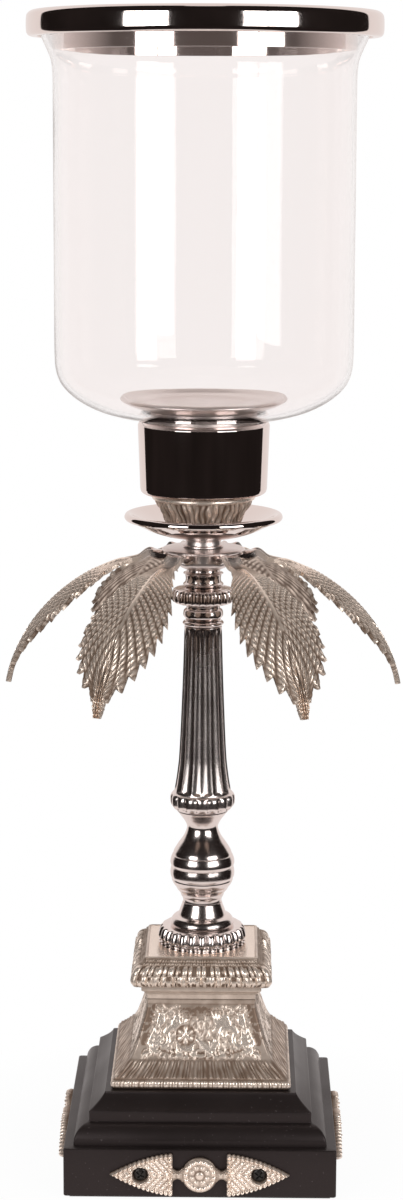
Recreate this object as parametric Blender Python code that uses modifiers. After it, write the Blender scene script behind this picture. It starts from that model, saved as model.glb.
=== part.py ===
"""Hurricane candle holder: a palm tree standard on a square pedestal and a wooden base,
with a glass shade in a cup and a candle plate inside the shade.

Everything is in metres, +Z up, with the origin on the ground at the middle of the base.
The pieces are stacked on a tie rod from the bottom up, and each one starts a seat gap above the last.
"""
import math

import bmesh
import bpy
import numpy as np
from mathutils import Matrix, Vector

MM = 0.001

# Clearances
SEAT = 0.3 * MM
ROD_CLEARANCE = 0.4 * MM
HEAD_CLEARANCE = 0.4 * MM
NECK_CLEARANCE = 0.7 * MM
SPIGOT_CLEARANCE = 0.8 * MM
LIP_CLEARANCE = 0.4 * MM
CUT_PAST = 10.0 * MM

# Small broken edges and steps on the castings and turnings
EDGE_BREAK = 0.6 * MM
HAIR_STEP = 0.4 * MM
PLAIN_STEP = 1.0 * MM

# Felt pad and wooden base
PAD_THICKNESS = 1.0 * MM
PAD_INSET = 3.0 * MM
BASE_WIDTH = 140.4 * MM
BASE_FACE = 25.7 * MM
BASE_EDGE_ROUND = 2.0 * MM
LEDGE = 4.9 * MM
OVOLO_WIDTH = 7.7 * MM
OVOLO_HEIGHT = 10.2 * MM
FILLET_HEIGHT = 5.4 * MM
OGEE_WIDTH = 8.0 * MM
OGEE_HEIGHT = 7.8 * MM
COUNTERBORE_RADIUS = 13.0 * MM
COUNTERBORE_DEPTH = 12.0 * MM

# Tie rod and its hardware
ROD_RADIUS = 3.0 * MM
NUT_ACROSS_FLATS = 10.0 * MM
NUT_HEIGHT = 5.0 * MM
WASHER_RADIUS = 11.0 * MM
WASHER_THICKNESS = 1.6 * MM
ROD_STICK_OUT = 1.5 * MM

# Cast mounts on the four faces of the base, each held by two screws
MOUNT_LENGTH = 92.4 * MM
MOUNT_THICKNESS = 4.2 * MM
WING_HALF_HEIGHT = 11.4 * MM
WING_INNER_END = 14.0 * MM
BOSS_RADIUS = 9.0 * MM
BOSS_DOME_RADIUS = 6.0 * MM
BOSS_DOME_HEIGHT = 2.2 * MM
BRIDGE_HALF_HEIGHT = 2.2 * MM
BRIDGE_FLARE = 1.0 * MM
WING_SCALLOPS = 5
SCALLOP_DEPTH = 0.7 * MM
SCREW_FROM_TIP = 15.7 * MM
SCREW_HEAD_RADIUS = 3.7 * MM
SCREW_HEAD_HEIGHT = 2.4 * MM
SCREW_SHANK_RADIUS = 1.5 * MM
SCREW_LENGTH = 14.0 * MM
SCREW_CROWN = 0.1 * MM

# Square metal pedestal and its cushion cap
FOOT_WIDTH = 92.6 * MM
FOOT_RIM_HEIGHT = 3.2 * MM
GADROON_HEIGHT = 11.6 * MM
GADROON_RUN = 5.4 * MM
CAVETTO_HEIGHT = 25.3 * MM
NECK_WIDTH = 56.8 * MM
NECK_HEIGHT = 2.6 * MM
CAP_FILLET_HEIGHT = 3.4 * MM
CAP_FILLET_REACH = 2.8 * MM
CAP_OGEE_HEIGHT = 4.6 * MM
CAP_CUSHION_RADIUS = 7.6 * MM
CAP_TOP_WIDTH = 57.4 * MM
CAP_TOP_RECESS = 1.3 * MM

# Turned column
DOME_RADIUS = 23.4 * MM
DOME_REED_HEIGHT = 3.6 * MM
DOME_LOBES = 24
DOME_LOBE_DEPTH = 0.9 * MM
DOME_BAND_HEIGHT = 6.9 * MM
DOME_SHOULDER_RADIUS = 21.0 * MM
DOME_BULGE_RADIUS = 15.4 * MM
DOME_BULGE_HEIGHT = 5.6 * MM
WAIST_RADIUS = 10.6 * MM
WAIST_HEIGHT = 6.6 * MM
KNOP_RADIUS = 17.4 * MM
KNOP_LOWER_HEIGHT = 11.8 * MM
KNOP_LOWER_BAND = 5.2 * MM
KNOP_UPPER_BAND = 8.0 * MM
KNOP_SHOULDER_HEIGHT = 14.2 * MM
KNOP_NECK_RADIUS = 8.8 * MM
KNOP_FLARE_HEIGHT = 10.6 * MM
KNOP_TOP_RADIUS = 13.6 * MM
KNOP_GROOVE = 0.5 * MM
SHAFT_HEIGHT = 98.6 * MM
SHAFT_TOP_RADIUS = 9.7 * MM
SHAFT_TAPER = 1.9 * MM
SHAFT_FOOT_RADIUS = 14.8 * MM
SHAFT_EDGE_RADIUS = 17.4 * MM
SHAFT_EDGE_HEIGHT = 9.2 * MM
SHAFT_FLARE_HEIGHT = 42.0 * MM
SHAFT_FLUTES = 16
FLUTE_DEPTH = 0.8 * MM
EDGE_LOBE_DEPTH = 0.8 * MM
BEAD_RING_RADIUS = 10.6 * MM
BEAD_RING_HEIGHT = 2.6 * MM
COLLAR_TORUS_RADIUS = 10.4 * MM
COLLAR_TORUS_HEIGHT = 6.0 * MM
COLLAR_FILLET_RADIUS = 8.8 * MM
COLLAR_FILLET_HEIGHT = 2.6 * MM
GADROON_RING_RADIUS = 16.4 * MM
GADROON_RING_HEIGHT = 9.0 * MM
GADROON_RING_LOBES = 20
RING_LOBE_DEPTH = 0.8 * MM
RING_DRAW_IN = 2.4 * MM
DRUM_RADIUS = 9.6 * MM
DRUM_HEIGHT = 8.6 * MM
DRUM_BEAD = 0.8 * MM

# Leaf hub and the six palm leaves
LEAF_COUNT = 6
HUB_RADIUS = 13.8 * MM
HUB_HEIGHT = 9.2 * MM
HUB_CONE = 4.0 * MM
DISC_RADIUS = 21.6 * MM
DISC_THICKNESS = 1.6 * MM
STEM_WIDTH = 7.2 * MM
STEM_GUTTER = 1.5 * MM
STEM_REACH = 33.0 * MM
LEAF_REACH = 104.0 * MM
LEAF_DROP = 68.0 * MM
LEAF_ARCH = 0.9
HUMP_HEIGHT = 3.0 * MM
HUMP_LENGTH = 11.0 * MM
BLADE_WIDTH = 46.0 * MM
BLADE_DROOP = 6.5 * MM
BLADE_THICKNESS = 2.0 * MM
TEETH = 9
TOOTH_DEPTH = 3.4 * MM
TIP_LENGTH = 11.0 * MM
TIP_WIDTH = 6.0 * MM

# Neck, drip pan, calyx, cup and candle plate
SPACER_RADIUS = 9.4 * MM
SPACER_HEIGHT = 4.2 * MM
SPACER_FLANGE = 1.0 * MM
PAN_RADIUS = 41.0 * MM
PAN_HEIGHT = 13.4 * MM
PAN_WALL = 2.6 * MM
PAN_RIM_RADIUS = 2.5 * MM
PAN_FOOT_RADIUS = 10.4 * MM
CALYX_FOOT_RADIUS = 16.6 * MM
CALYX_TOP_RADIUS = 26.6 * MM
CALYX_HEIGHT = 18.6 * MM
CALYX_LIP = 2.2 * MM
CALYX_LIP_OVERHANG = 1.6 * MM
CALYX_LOBES = 16
CALYX_LOBE_DEPTH = 0.9 * MM
CUP_TOP_RADIUS = 34.0 * MM
CUP_FOOT_RADIUS = 32.8 * MM
CUP_HEIGHT = 36.4 * MM
CUP_WALL = 1.6 * MM
CUP_FLOOR = 2.6 * MM
CUP_ROUND = 3.0 * MM
CUP_BEVEL = 2.0 * MM
SEAL_THICKNESS = 2.0 * MM
PLATE_RADIUS = 43.2 * MM
PLATE_DISH_RADIUS = 33.0 * MM
PLATE_RISE = 4.6 * MM
PLATE_WALL = 1.8 * MM
PLATE_RIM_RADIUS = 1.7 * MM
SPIGOT_WALL = 1.6 * MM
PLATE_FLOAT = 2.6 * MM

# Glass shade and its rim ring
GLASS_THICKNESS = 2.2 * MM
GLASS_BOWL_HEIGHT = 24.5 * MM
GLASS_BOWL_POWER = 1.8
GLASS_NECK_FILLET = 2.6 * MM
GLASS_BODY_HEIGHT = 149.0 * MM
GLASS_FLARE_HEIGHT = 23.0 * MM
GLASS_FLARE_RUN = 7.3 * MM
GLASS_FLARE_POWER = 1.9
GLASS_LIP_HEIGHT = 7.6 * MM
RING_RADIUS = 89.8 * MM
RING_BAND_WALL = 5.5 * MM
RING_BAND_HEIGHT = 13.0 * MM
RING_TOP_THICKNESS = 3.2 * MM
RING_TOP_ROUND = 3.6 * MM
RING_FOOT_ROUND = 2.4 * MM
RING_SKIRT_CLEARANCE = 0.5 * MM
RING_SKIRT_WALL = 1.4 * MM
RING_SKIRT_HEIGHT = 19.4 * MM

# Sides of the round pieces, and of each lobe and flute
FINE_SIDES = 24
MIDDLE_SIDES = 18
SMALL_SIDES = 14
SCREW_SIDES = 6
ROD_SIDES = 12
HUB_SIDES = 3
MOUNT_HOLE_SIDES = 8
LOBE_SIDES = 2
FLUTE_SIDES = 3

ROD_HOLE = ROD_RADIUS + ROD_CLEARANCE
SCREW_OFFSET = MOUNT_LENGTH / 2.0 - SCREW_FROM_TIP
GLASS_LIP_RADIUS = RING_RADIUS - RING_BAND_WALL - LIP_CLEARANCE
GLASS_RADIUS = GLASS_LIP_RADIUS - GLASS_FLARE_RUN
NECK_RADIUS = CUP_FOOT_RADIUS - CUP_WALL - NECK_CLEARANCE
SPIGOT_RADIUS = NECK_RADIUS - GLASS_THICKNESS - SPIGOT_CLEARANCE

# Colours, roughness and metallic values of the finishes
FINISHES = {
    "polished_nickel": ((0.62, 0.57, 0.54), 0.08, 1.0),
    "antique_nickel": ((0.42, 0.37, 0.33), 0.35, 1.0),
    "black_lacquer": ((0.012, 0.010, 0.010), 0.35, 0.0),
    "clear_glass": ((0.92, 0.90, 0.90), 0.02, 0.0),
    "black_screw": ((0.02, 0.02, 0.02), 0.4, 1.0),
    "plain_steel": ((0.5, 0.5, 0.5), 0.35, 1.0),
    "black_felt": ((0.02, 0.02, 0.02), 0.95, 0.0),
    "clear_rubber": ((0.6, 0.6, 0.58), 0.5, 0.0),
}


def clear_scene():
    for found in list(bpy.data.objects):
        bpy.data.objects.remove(found, do_unlink=True)


def collection(name, hidden=False):
    made = bpy.data.collections.new(name)
    bpy.context.scene.collection.children.link(made)
    made.hide_render = hidden
    return made


def finish(name, finish_name):
    """Give one piece its own material from the table of finishes."""
    colour, roughness, metallic = FINISHES[finish_name]
    material = bpy.data.materials.new(name + "_" + finish_name)
    material.use_nodes = True
    shader = material.node_tree.nodes["Principled BSDF"]
    shader.inputs["Base Color"].default_value = (*colour, 1.0)
    shader.inputs["Roughness"].default_value = roughness
    shader.inputs["Metallic"].default_value = metallic
    if finish_name == "clear_glass":
        shader.inputs["Transmission Weight"].default_value = 1.0
        shader.inputs["IOR"].default_value = 1.5
    return material


def place(mesh, name, finish_name, z=0.0, turn=0.0, group=None):
    """Put a mesh into the scene as a named piece standing at height z, turned about Z."""
    piece = bpy.data.objects.new(name, mesh)
    (group or PIECES).objects.link(piece)
    piece.location = (0.0, 0.0, z)
    piece.rotation_euler = (0.0, 0.0, turn)
    if finish_name:
        piece.data.materials.clear()
        piece.data.materials.append(finish(name, finish_name))
    return piece


def arc(centre, radii, start, end, count):
    """Points of an elliptical arc in the radius and height plane, angles in degrees."""
    angles = np.radians(np.linspace(start, end, count))
    return [(centre[0] + radii[0] * math.cos(a), centre[1] + radii[1] * math.sin(a)) for a in angles]


def ogee(low, high, count):
    """An S curve that leaves the low point and meets the high point upright."""
    steps = np.linspace(0.0, 1.0, count)
    ease = (1.0 - np.cos(math.pi * steps)) / 2.0
    return [(low[0] + (high[0] - low[0]) * e, low[1] + (high[1] - low[1]) * s) for s, e in zip(steps, ease)]


def profile_mesh(name, points, closed):
    """An edge loop or chain in the XZ plane for a Screw modifier."""
    mesh = bpy.data.meshes.new(name)
    verts = [(x, 0.0, z) for x, z in points]
    edges = [(i, i + 1) for i in range(len(points) - 1)]
    if closed:
        edges.append((len(points) - 1, 0))
    mesh.from_pydata(verts, edges, [])
    return mesh


def add_screw(piece, sides):
    screw = piece.modifiers.new("turn", "SCREW")
    screw.axis = "Z"
    screw.angle = math.tau
    screw.steps = sides
    screw.render_steps = sides
    screw.use_merge_vertices = True
    screw.merge_threshold = 0.00002
    screw.use_smooth_shade = True
    return screw


def turned(name, outer, finish_name, z, sides, bore=ROD_HOLE, inner=None, turn=0.0, group=None):
    """A turned piece: outer runs up the outside, and inner, or a plain bore, comes back down."""
    back = inner or [(bore, outer[-1][1]), (bore, outer[0][1])]
    loop = list(reversed(outer)) + list(reversed(back))
    piece = place(profile_mesh(name, loop, True), name, finish_name, z, turn, group)
    add_screw(piece, sides)
    return piece


def square_moulding(name, outer, finish_name, z, turn=math.pi / 4.0):
    """A mitred square moulding: outer gives half widths going up, and closes on the middle."""
    corner = math.sqrt(2.0)
    chain = [(0.0, outer[-1][1])] + [(half * corner, height) for half, height in reversed(outer)]
    chain.append((0.0, outer[0][1]))
    piece = place(profile_mesh(name, chain, False), name, finish_name, z, turn)
    screw = add_screw(piece, 4)
    screw.use_smooth_shade = False
    return piece


def bake(piece):
    """Turn what the modifiers make into the piece's own mesh."""
    graph = bpy.context.evaluated_depsgraph_get()
    mesh = bpy.data.meshes.new_from_object(piece.evaluated_get(graph))
    piece.modifiers.clear()
    piece.data = mesh
    return mesh


def lobe(piece, count, depth, low, high, inside):
    """Press lobes or flutes into a turned piece, between two heights and outside a radius."""
    mesh = bake(piece)
    co = np.empty(len(mesh.vertices) * 3)
    mesh.vertices.foreach_get("co", co)
    co = co.reshape(-1, 3)
    radius = np.hypot(co[:, 0], co[:, 1])
    angle = np.arctan2(co[:, 1], co[:, 0])
    fade = (radius > inside) & (co[:, 2] > low) & (co[:, 2] < high)
    wave = (1.0 - np.cos(angle * count)) / 2.0
    scale = 1.0 - fade * depth * wave / np.maximum(radius, inside)
    co[:, 0] *= scale
    co[:, 1] *= scale
    mesh.vertices.foreach_set("co", co.ravel())
    mesh.update()


def cutter_cylinder(name, radius, low, high, location=(0.0, 0.0, 0.0), sides=SMALL_SIDES, axis=None):
    """A cylinder that cuts a hole, from low to high along its axis.

    An upright one is turned by half a side, so that none of its edges lies on a square's diagonal.
    """
    mesh = bpy.data.meshes.new(name)
    made = bmesh.new()
    bmesh.ops.create_cone(made, cap_ends=True, segments=sides, radius1=radius, radius2=radius,
                          depth=high - low)
    bmesh.ops.translate(made, verts=made.verts, vec=(0.0, 0.0, (low + high) / 2.0))
    turn = Matrix.Rotation(math.pi / sides, 3, "Z")
    if axis is not None:
        turn = Vector((0.0, 0.0, 1.0)).rotation_difference(Vector(axis)).to_matrix()
    bmesh.ops.rotate(made, verts=made.verts, cent=(0.0, 0.0, 0.0), matrix=turn)
    bmesh.ops.translate(made, verts=made.verts, vec=location)
    made.to_mesh(mesh)
    made.free()
    cutter = place(mesh, name, None, group=CUTTERS)
    cutter.hide_render = True
    cutter.display_type = "WIRE"
    return cutter


def cut(piece, cutter, operation="DIFFERENCE"):
    modifier = piece.modifiers.new(operation.lower() + "_" + cutter.name, "BOOLEAN")
    modifier.operation = operation
    modifier.object = cutter
    modifier.solver = "EXACT"


def smooth(piece, degrees=35.0):
    piece.data.shade_smooth()
    piece.data.set_sharp_from_angle(angle=math.radians(degrees))


def felt_pad(z):
    half = BASE_WIDTH / 2.0 - PAD_INSET
    mesh = bpy.data.meshes.new("felt_pad")
    made = bmesh.new()
    size = Matrix.Diagonal((2.0 * half, 2.0 * half, PAD_THICKNESS, 1.0))
    bmesh.ops.create_cube(made, size=1.0, matrix=Matrix.Translation((0, 0, PAD_THICKNESS / 2.0)) @ size)
    made.to_mesh(mesh)
    made.free()
    place(mesh, "felt_pad", "black_felt", z)
    return z + PAD_THICKNESS


def wood_base(z):
    """The lacquered base: a square face, a ledge, an ovolo, a fillet and an ogee up to the top."""
    half = BASE_WIDTH / 2.0
    round_centre = (half - BASE_EDGE_ROUND, BASE_EDGE_ROUND)
    outer = arc(round_centre, (BASE_EDGE_ROUND, BASE_EDGE_ROUND), -90, 0, 4)
    outer.append((half, BASE_FACE))
    ledge = half - LEDGE
    outer += arc((ledge - OVOLO_WIDTH, BASE_FACE), (OVOLO_WIDTH, OVOLO_HEIGHT), 0, 90, 6)
    fillet = ledge - OVOLO_WIDTH
    fillet_low = BASE_FACE + OVOLO_HEIGHT
    fillet_high = fillet_low + FILLET_HEIGHT
    outer.append((fillet - SEAT, fillet_low + SEAT))
    outer += ogee((fillet - SEAT, fillet_high), (fillet - OGEE_WIDTH, fillet_high + OGEE_HEIGHT), 6)
    height = fillet_high + OGEE_HEIGHT
    base = square_moulding("wood_base", outer, "black_lacquer", z)
    cut(base, cutter_cylinder("base_bore", ROD_HOLE, z - CUT_PAST, z + height + CUT_PAST))
    cut(base, cutter_cylinder("base_counterbore", COUNTERBORE_RADIUS, z - CUT_PAST, z + COUNTERBORE_DEPTH))
    depth = SCREW_LENGTH + SEAT
    pilot = SCREW_SHANK_RADIUS + SEAT
    for face in range(4):
        out = Matrix.Rotation(face * math.pi / 2.0, 3, "Z") @ Vector((0.0, -1.0, 0.0))
        along = Vector((-out.y, out.x, 0.0))
        for side in (-1, 1):
            spot = along * SCREW_OFFSET * side + out * half + Vector((0, 0, z + BASE_FACE / 2.0))
            name = "pilot_%d_%d" % (face, side)
            cut(base, cutter_cylinder(name, pilot, -depth, CUT_PAST, spot, SCREW_SIDES, out))
    return z + height


def wing_outline(side):
    """Half of a mount's outline going from the boss ring out over one wing and back below."""
    tip = MOUNT_LENGTH / 2.0
    steps = WING_SCALLOPS * 2
    top = []
    for i in range(steps + 1):
        t = i / steps
        x = WING_INNER_END + (tip - WING_INNER_END) * t
        z = WING_HALF_HEIGHT * (1.0 - t ** 1.7)
        notch = SCALLOP_DEPTH if i % 2 and i < steps else 0.0
        top.append((x, max(z - notch, 0.0)))
    start = math.degrees(math.asin(BRIDGE_HALF_HEIGHT / BOSS_RADIUS))
    ring = arc((0.0, 0.0), (BOSS_RADIUS, BOSS_RADIUS), 90.0, start, 4)
    bridge = [(WING_INNER_END, BRIDGE_HALF_HEIGHT + BRIDGE_FLARE)]
    upper = ring[1:] + bridge + top
    lower = [(x, -z) for x, z in reversed(upper[:-1])]
    loop = upper + lower
    return [(x * side, z) for x, z in (loop if side > 0 else reversed(loop))]


def circle_points(centre, radius, sides):
    return [(centre + x, y) for x, y in arc((0.0, 0.0), (radius, radius), 0.0, 360.0, sides + 1)[:-1]]


def mount_blank():
    """A mount's flat plate with its screw holes, standing in the XZ plane with its back at y = 0."""
    curve = bpy.data.curves.new("mount_blank", "CURVE")
    curve.dimensions = "2D"
    curve.fill_mode = "BOTH"
    curve.extrude = MOUNT_THICKNESS / 2.0
    hole = SCREW_HEAD_RADIUS + HEAD_CLEARANCE
    plate = [(0.0, BOSS_RADIUS)] + wing_outline(1) + [(0.0, -BOSS_RADIUS)] + wing_outline(-1)
    holes = [circle_points(side * SCREW_OFFSET, hole, MOUNT_HOLE_SIDES) for side in (-1, 1)]
    for points in [plate] + holes:
        spline = curve.splines.new("POLY")
        spline.points.add(len(points) - 1)
        for point, (x, y) in zip(spline.points, points):
            point.co = (x, y, 0.0, 1.0)
        spline.use_cyclic_u = True
    blank = bpy.data.objects.new("mount_blank", curve)
    CUTTERS.objects.link(blank)
    mesh = bpy.data.meshes.new_from_object(blank.evaluated_get(bpy.context.evaluated_depsgraph_get()))
    bpy.data.objects.remove(blank)
    made = bmesh.new()
    made.from_mesh(mesh)
    bmesh.ops.remove_doubles(made, verts=made.verts, dist=0.000001)
    upright = Matrix.Rotation(math.pi / 2.0, 3, "X")
    bmesh.ops.rotate(made, verts=made.verts, cent=(0.0, 0.0, 0.0), matrix=upright)
    bmesh.ops.translate(made, verts=made.verts, vec=(0.0, -MOUNT_THICKNESS / 2.0, 0.0))
    bmesh.ops.recalc_face_normals(made, faces=made.faces)
    made.to_mesh(mesh)
    made.free()
    return mesh


def boss_cutter():
    """The boss's dome, sunk into the plate that it is joined to."""
    sunk = -MOUNT_THICKNESS / 2.0
    dome = arc((0.0, 0.0), (BOSS_DOME_RADIUS, BOSS_DOME_HEIGHT), 15, 70, 3)
    chain = [(0.0, BOSS_DOME_HEIGHT)] + list(reversed(dome)) + [(BOSS_DOME_RADIUS, sunk), (0.0, sunk)]
    boss = place(profile_mesh("mount_boss", chain, False), "mount_boss", None, group=CUTTERS)
    add_screw(boss, ROD_SIDES)
    boss.hide_render = True
    boss.display_type = "WIRE"
    boss.rotation_euler = (math.pi / 2.0, 0.0, 0.0)
    boss.location = (0.0, -MOUNT_THICKNESS, 0.0)
    return boss


def base_mounts(z):
    """One cast mount with two screws on each face of the base."""
    pattern = place(mount_blank(), "mount_pattern", None, group=CUTTERS)
    cut(pattern, boss_cutter(), "UNION")
    mesh = bake(pattern)
    bpy.data.objects.remove(pattern)
    height = z + BASE_FACE / 2.0
    for face, where in enumerate(("front", "right", "back", "left")):
        turn = face * math.pi / 2.0
        out = Matrix.Rotation(turn, 3, "Z") @ Vector((0.0, -1.0, 0.0))
        mount = place(mesh.copy(), "base_mount_" + where, "antique_nickel", height, turn)
        mount.location += out * (BASE_WIDTH / 2.0 + SEAT)
        smooth(mount)
    mount_screws(height)


def mount_screws(height):
    """Round headed screws that hold the mounts and bite into the base."""
    head_seat = SCREW_LENGTH
    outer = [(SCREW_SHANK_RADIUS, 0.0), (SCREW_SHANK_RADIUS, head_seat)]
    outer.append((SCREW_HEAD_RADIUS, head_seat + SEAT))
    outer += arc((0.0, head_seat + SEAT), (SCREW_HEAD_RADIUS, SCREW_HEAD_HEIGHT), 30, 65, 2)
    chain = [(0.0, outer[-1][1] + SCREW_CROWN)] + list(reversed(outer)) + [(0.0, 0.0)]
    mesh = profile_mesh("screw", chain, False)
    for face, where in enumerate(("front", "right", "back", "left")):
        turn = Matrix.Rotation(face * math.pi / 2.0, 4, "Z")
        for number, side in enumerate((-1, 1), start=1):
            name = "mount_screw_%s_%d" % (where, number)
            screw = place(mesh.copy(), name, "black_screw")
            add_screw(screw, SCREW_SIDES)
            start = Vector((side * SCREW_OFFSET, -BASE_WIDTH / 2.0 + SCREW_LENGTH, height))
            lie = Matrix.Translation(start) @ Matrix.Rotation(math.pi / 2.0, 4, "X")
            screw.matrix_world = turn @ lie


def pedestal_body(z):
    """The square pedestal: a rim, a gadrooned slope and a hollow sweep up to the neck."""
    foot = FOOT_WIDTH / 2.0
    neck = NECK_WIDTH / 2.0
    slope_top = foot - GADROON_RUN - PLAIN_STEP
    low = FOOT_RIM_HEIGHT
    sweep = low + GADROON_HEIGHT
    outer = [(foot, 0.0), (foot, low - EDGE_BREAK), (foot - EDGE_BREAK, low)]
    centre = (slope_top - 2.0 * PLAIN_STEP, low)
    outer += arc(centre, (foot - slope_top + PLAIN_STEP, GADROON_HEIGHT), 8, 62, 4)
    run = outer[-1][0] - EDGE_BREAK - neck
    for t in np.linspace(0.0, 1.0, 7):
        half = neck + run * (1.0 - t) ** 2.0
        outer.append((half, sweep + CAVETTO_HEIGHT * t))
    top = sweep + CAVETTO_HEIGHT + NECK_HEIGHT
    outer.append((neck, top))
    body = square_moulding("pedestal_body", outer, "antique_nickel", z)
    cut(body, cutter_cylinder("pedestal_bore", ROD_HOLE, z - CUT_PAST, z + top + CUT_PAST))
    return z + top


def pedestal_cap(z):
    """The cushion cap: a fillet, an ogee, a fat rounded edge and a sunk flat top."""
    neck = NECK_WIDTH / 2.0
    reach = neck + CAP_FILLET_REACH
    flat = CAP_TOP_WIDTH / 2.0
    cushion = flat + EDGE_BREAK
    bottom = CAP_FILLET_HEIGHT + CAP_OGEE_HEIGHT
    outer = [(neck, 0.0), (neck, CAP_FILLET_HEIGHT - EDGE_BREAK)]
    outer += [(reach, CAP_FILLET_HEIGHT + PLAIN_STEP), (reach, bottom)]
    centre = (cushion, bottom + CAP_CUSHION_RADIUS)
    outer += arc(centre, (CAP_CUSHION_RADIUS, CAP_CUSHION_RADIUS), -72, 82, 9)
    top = bottom + 2.0 * CAP_CUSHION_RADIUS
    floor = top - CAP_TOP_RECESS
    outer += [(flat, top), (flat - EDGE_BREAK, floor)]
    cap = square_moulding("pedestal_cap", outer, "antique_nickel", z)
    cut(cap, cutter_cylinder("cap_bore", ROD_HOLE, z - CUT_PAST, z + top + CUT_PAST))
    return z + floor


def gadrooned_dome(z):
    """The round foot of the column: a reed, a lobed band, a plain shoulder, a bulge and the waist."""
    lobes_low = DOME_REED_HEIGHT
    band = DOME_BAND_HEIGHT
    shoulder = lobes_low + band
    bulge_top = shoulder + DOME_BULGE_HEIGHT
    outer = [(DOME_RADIUS - PLAIN_STEP, 0.0), (DOME_RADIUS - HAIR_STEP, 0.5 * lobes_low)]
    outer += [(DOME_RADIUS - PLAIN_STEP, lobes_low), (DOME_RADIUS, lobes_low + 0.45 * band)]
    outer += [(DOME_RADIUS - EDGE_BREAK, lobes_low + 0.8 * band), (DOME_SHOULDER_RADIUS, shoulder)]
    outer += arc((WAIST_RADIUS, shoulder), (DOME_BULGE_RADIUS - WAIST_RADIUS, DOME_BULGE_HEIGHT), 0, 70, 3)
    outer += [(WAIST_RADIUS, bulge_top + PLAIN_STEP), (WAIST_RADIUS, bulge_top + WAIST_HEIGHT)]
    dome = turned("gadrooned_dome", outer, "polished_nickel", z, DOME_LOBES * LOBE_SIDES)
    lobe(dome, DOME_LOBES, DOME_LOBE_DEPTH, lobes_low + HAIR_STEP, shoulder - HAIR_STEP, DOME_BULGE_RADIUS)
    smooth(dome)
    return z + bulge_top + WAIST_HEIGHT


def pear_knop(z):
    """The pear shaped knop: a drawn-in foot, two bands with grooves, the pear and the hollow flare."""
    groove = KNOP_LOWER_HEIGHT + KNOP_LOWER_BAND
    pear = groove + KNOP_UPPER_BAND
    neck = pear + KNOP_SHOULDER_HEIGHT
    top = neck + KNOP_FLARE_HEIGHT
    outer = ogee((WAIST_RADIUS + HAIR_STEP, 0.0), (KNOP_RADIUS - HAIR_STEP, KNOP_LOWER_HEIGHT), 5)
    outer += [(KNOP_RADIUS, KNOP_LOWER_HEIGHT + 0.5 * KNOP_LOWER_BAND), (KNOP_RADIUS - KNOP_GROOVE, groove)]
    outer += [(KNOP_RADIUS, groove + 0.35 * KNOP_UPPER_BAND), (KNOP_RADIUS - 2.0 * KNOP_GROOVE, pear)]
    outer += ogee((KNOP_RADIUS - 3.0 * KNOP_GROOVE, pear + EDGE_BREAK), (KNOP_NECK_RADIUS, neck), 5)
    outer += arc((KNOP_TOP_RADIUS, neck), (KNOP_TOP_RADIUS - KNOP_NECK_RADIUS, KNOP_FLARE_HEIGHT),
                 160, 100, 3)
    outer.append((KNOP_TOP_RADIUS, top))
    knop = turned("pear_knop", outer, "polished_nickel", z, MIDDLE_SIDES)
    smooth(knop)
    return z + top


def shaft_radius(height):
    """The shaft's radius: slim at the top, and swelling in a smooth curve towards its foot."""
    share = max(0.0, 1.0 - (height - SHAFT_EDGE_HEIGHT) / SHAFT_FLARE_HEIGHT)
    straight = (SHAFT_HEIGHT - height) / SHAFT_HEIGHT
    slim = SHAFT_TOP_RADIUS + SHAFT_TAPER * straight
    return slim + (SHAFT_FOOT_RADIUS - slim) * share ** 2.2


def fluted_shaft(z):
    """The fluted trunk with a lobed bottom edge."""
    edge = SHAFT_EDGE_HEIGHT
    outer = [(KNOP_TOP_RADIUS, 0.0), (SHAFT_EDGE_RADIUS - EDGE_BREAK, 0.2 * edge)]
    outer += [(SHAFT_EDGE_RADIUS, 0.5 * edge), (SHAFT_EDGE_RADIUS - EDGE_BREAK, 0.8 * edge)]
    heights = np.append(np.linspace(edge + PLAIN_STEP, edge + SHAFT_FLARE_HEIGHT, 4),
                        SHAFT_HEIGHT - PLAIN_STEP)
    outer += [(shaft_radius(h), h) for h in heights]
    outer.append((SHAFT_TOP_RADIUS, SHAFT_HEIGHT))
    shaft = turned("fluted_shaft", outer, "polished_nickel", z, SHAFT_FLUTES * FLUTE_SIDES)
    lobe(shaft, SHAFT_FLUTES, FLUTE_DEPTH, edge + HAIR_STEP, SHAFT_HEIGHT - HAIR_STEP, ROD_HOLE + PLAIN_STEP)
    lobe(shaft, SHAFT_FLUTES, EDGE_LOBE_DEPTH, 0.1 * edge, 0.9 * edge, SHAFT_FOOT_RADIUS)
    smooth(shaft)
    return z + SHAFT_HEIGHT


def ring_profile(radius, height, fillet):
    """A plain half round ring that stands on a small fillet at each side."""
    return ([(radius - fillet, 0.0)] + arc((radius - height / 2.0, height / 2.0),
            (height / 2.0, height / 2.0), -66, 66, 3) + [(radius - fillet, height)])


def bead_ring(z):
    outer = ring_profile(BEAD_RING_RADIUS, BEAD_RING_HEIGHT, PLAIN_STEP)
    smooth(turned("bead_ring", outer, "polished_nickel", z, SMALL_SIDES))
    return z + BEAD_RING_HEIGHT


def lower_collar(z):
    """A torus with a slim fillet above it, below the gadrooned ring."""
    outer = ring_profile(COLLAR_TORUS_RADIUS, COLLAR_TORUS_HEIGHT, PLAIN_STEP + HAIR_STEP)
    top = COLLAR_TORUS_HEIGHT + COLLAR_FILLET_HEIGHT
    edge = COLLAR_FILLET_RADIUS + EDGE_BREAK
    outer += [(COLLAR_FILLET_RADIUS, COLLAR_TORUS_HEIGHT + HAIR_STEP), (edge, top - PLAIN_STEP), (edge, top)]
    smooth(turned("lower_collar", outer, "polished_nickel", z, SMALL_SIDES))
    return z + top


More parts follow.
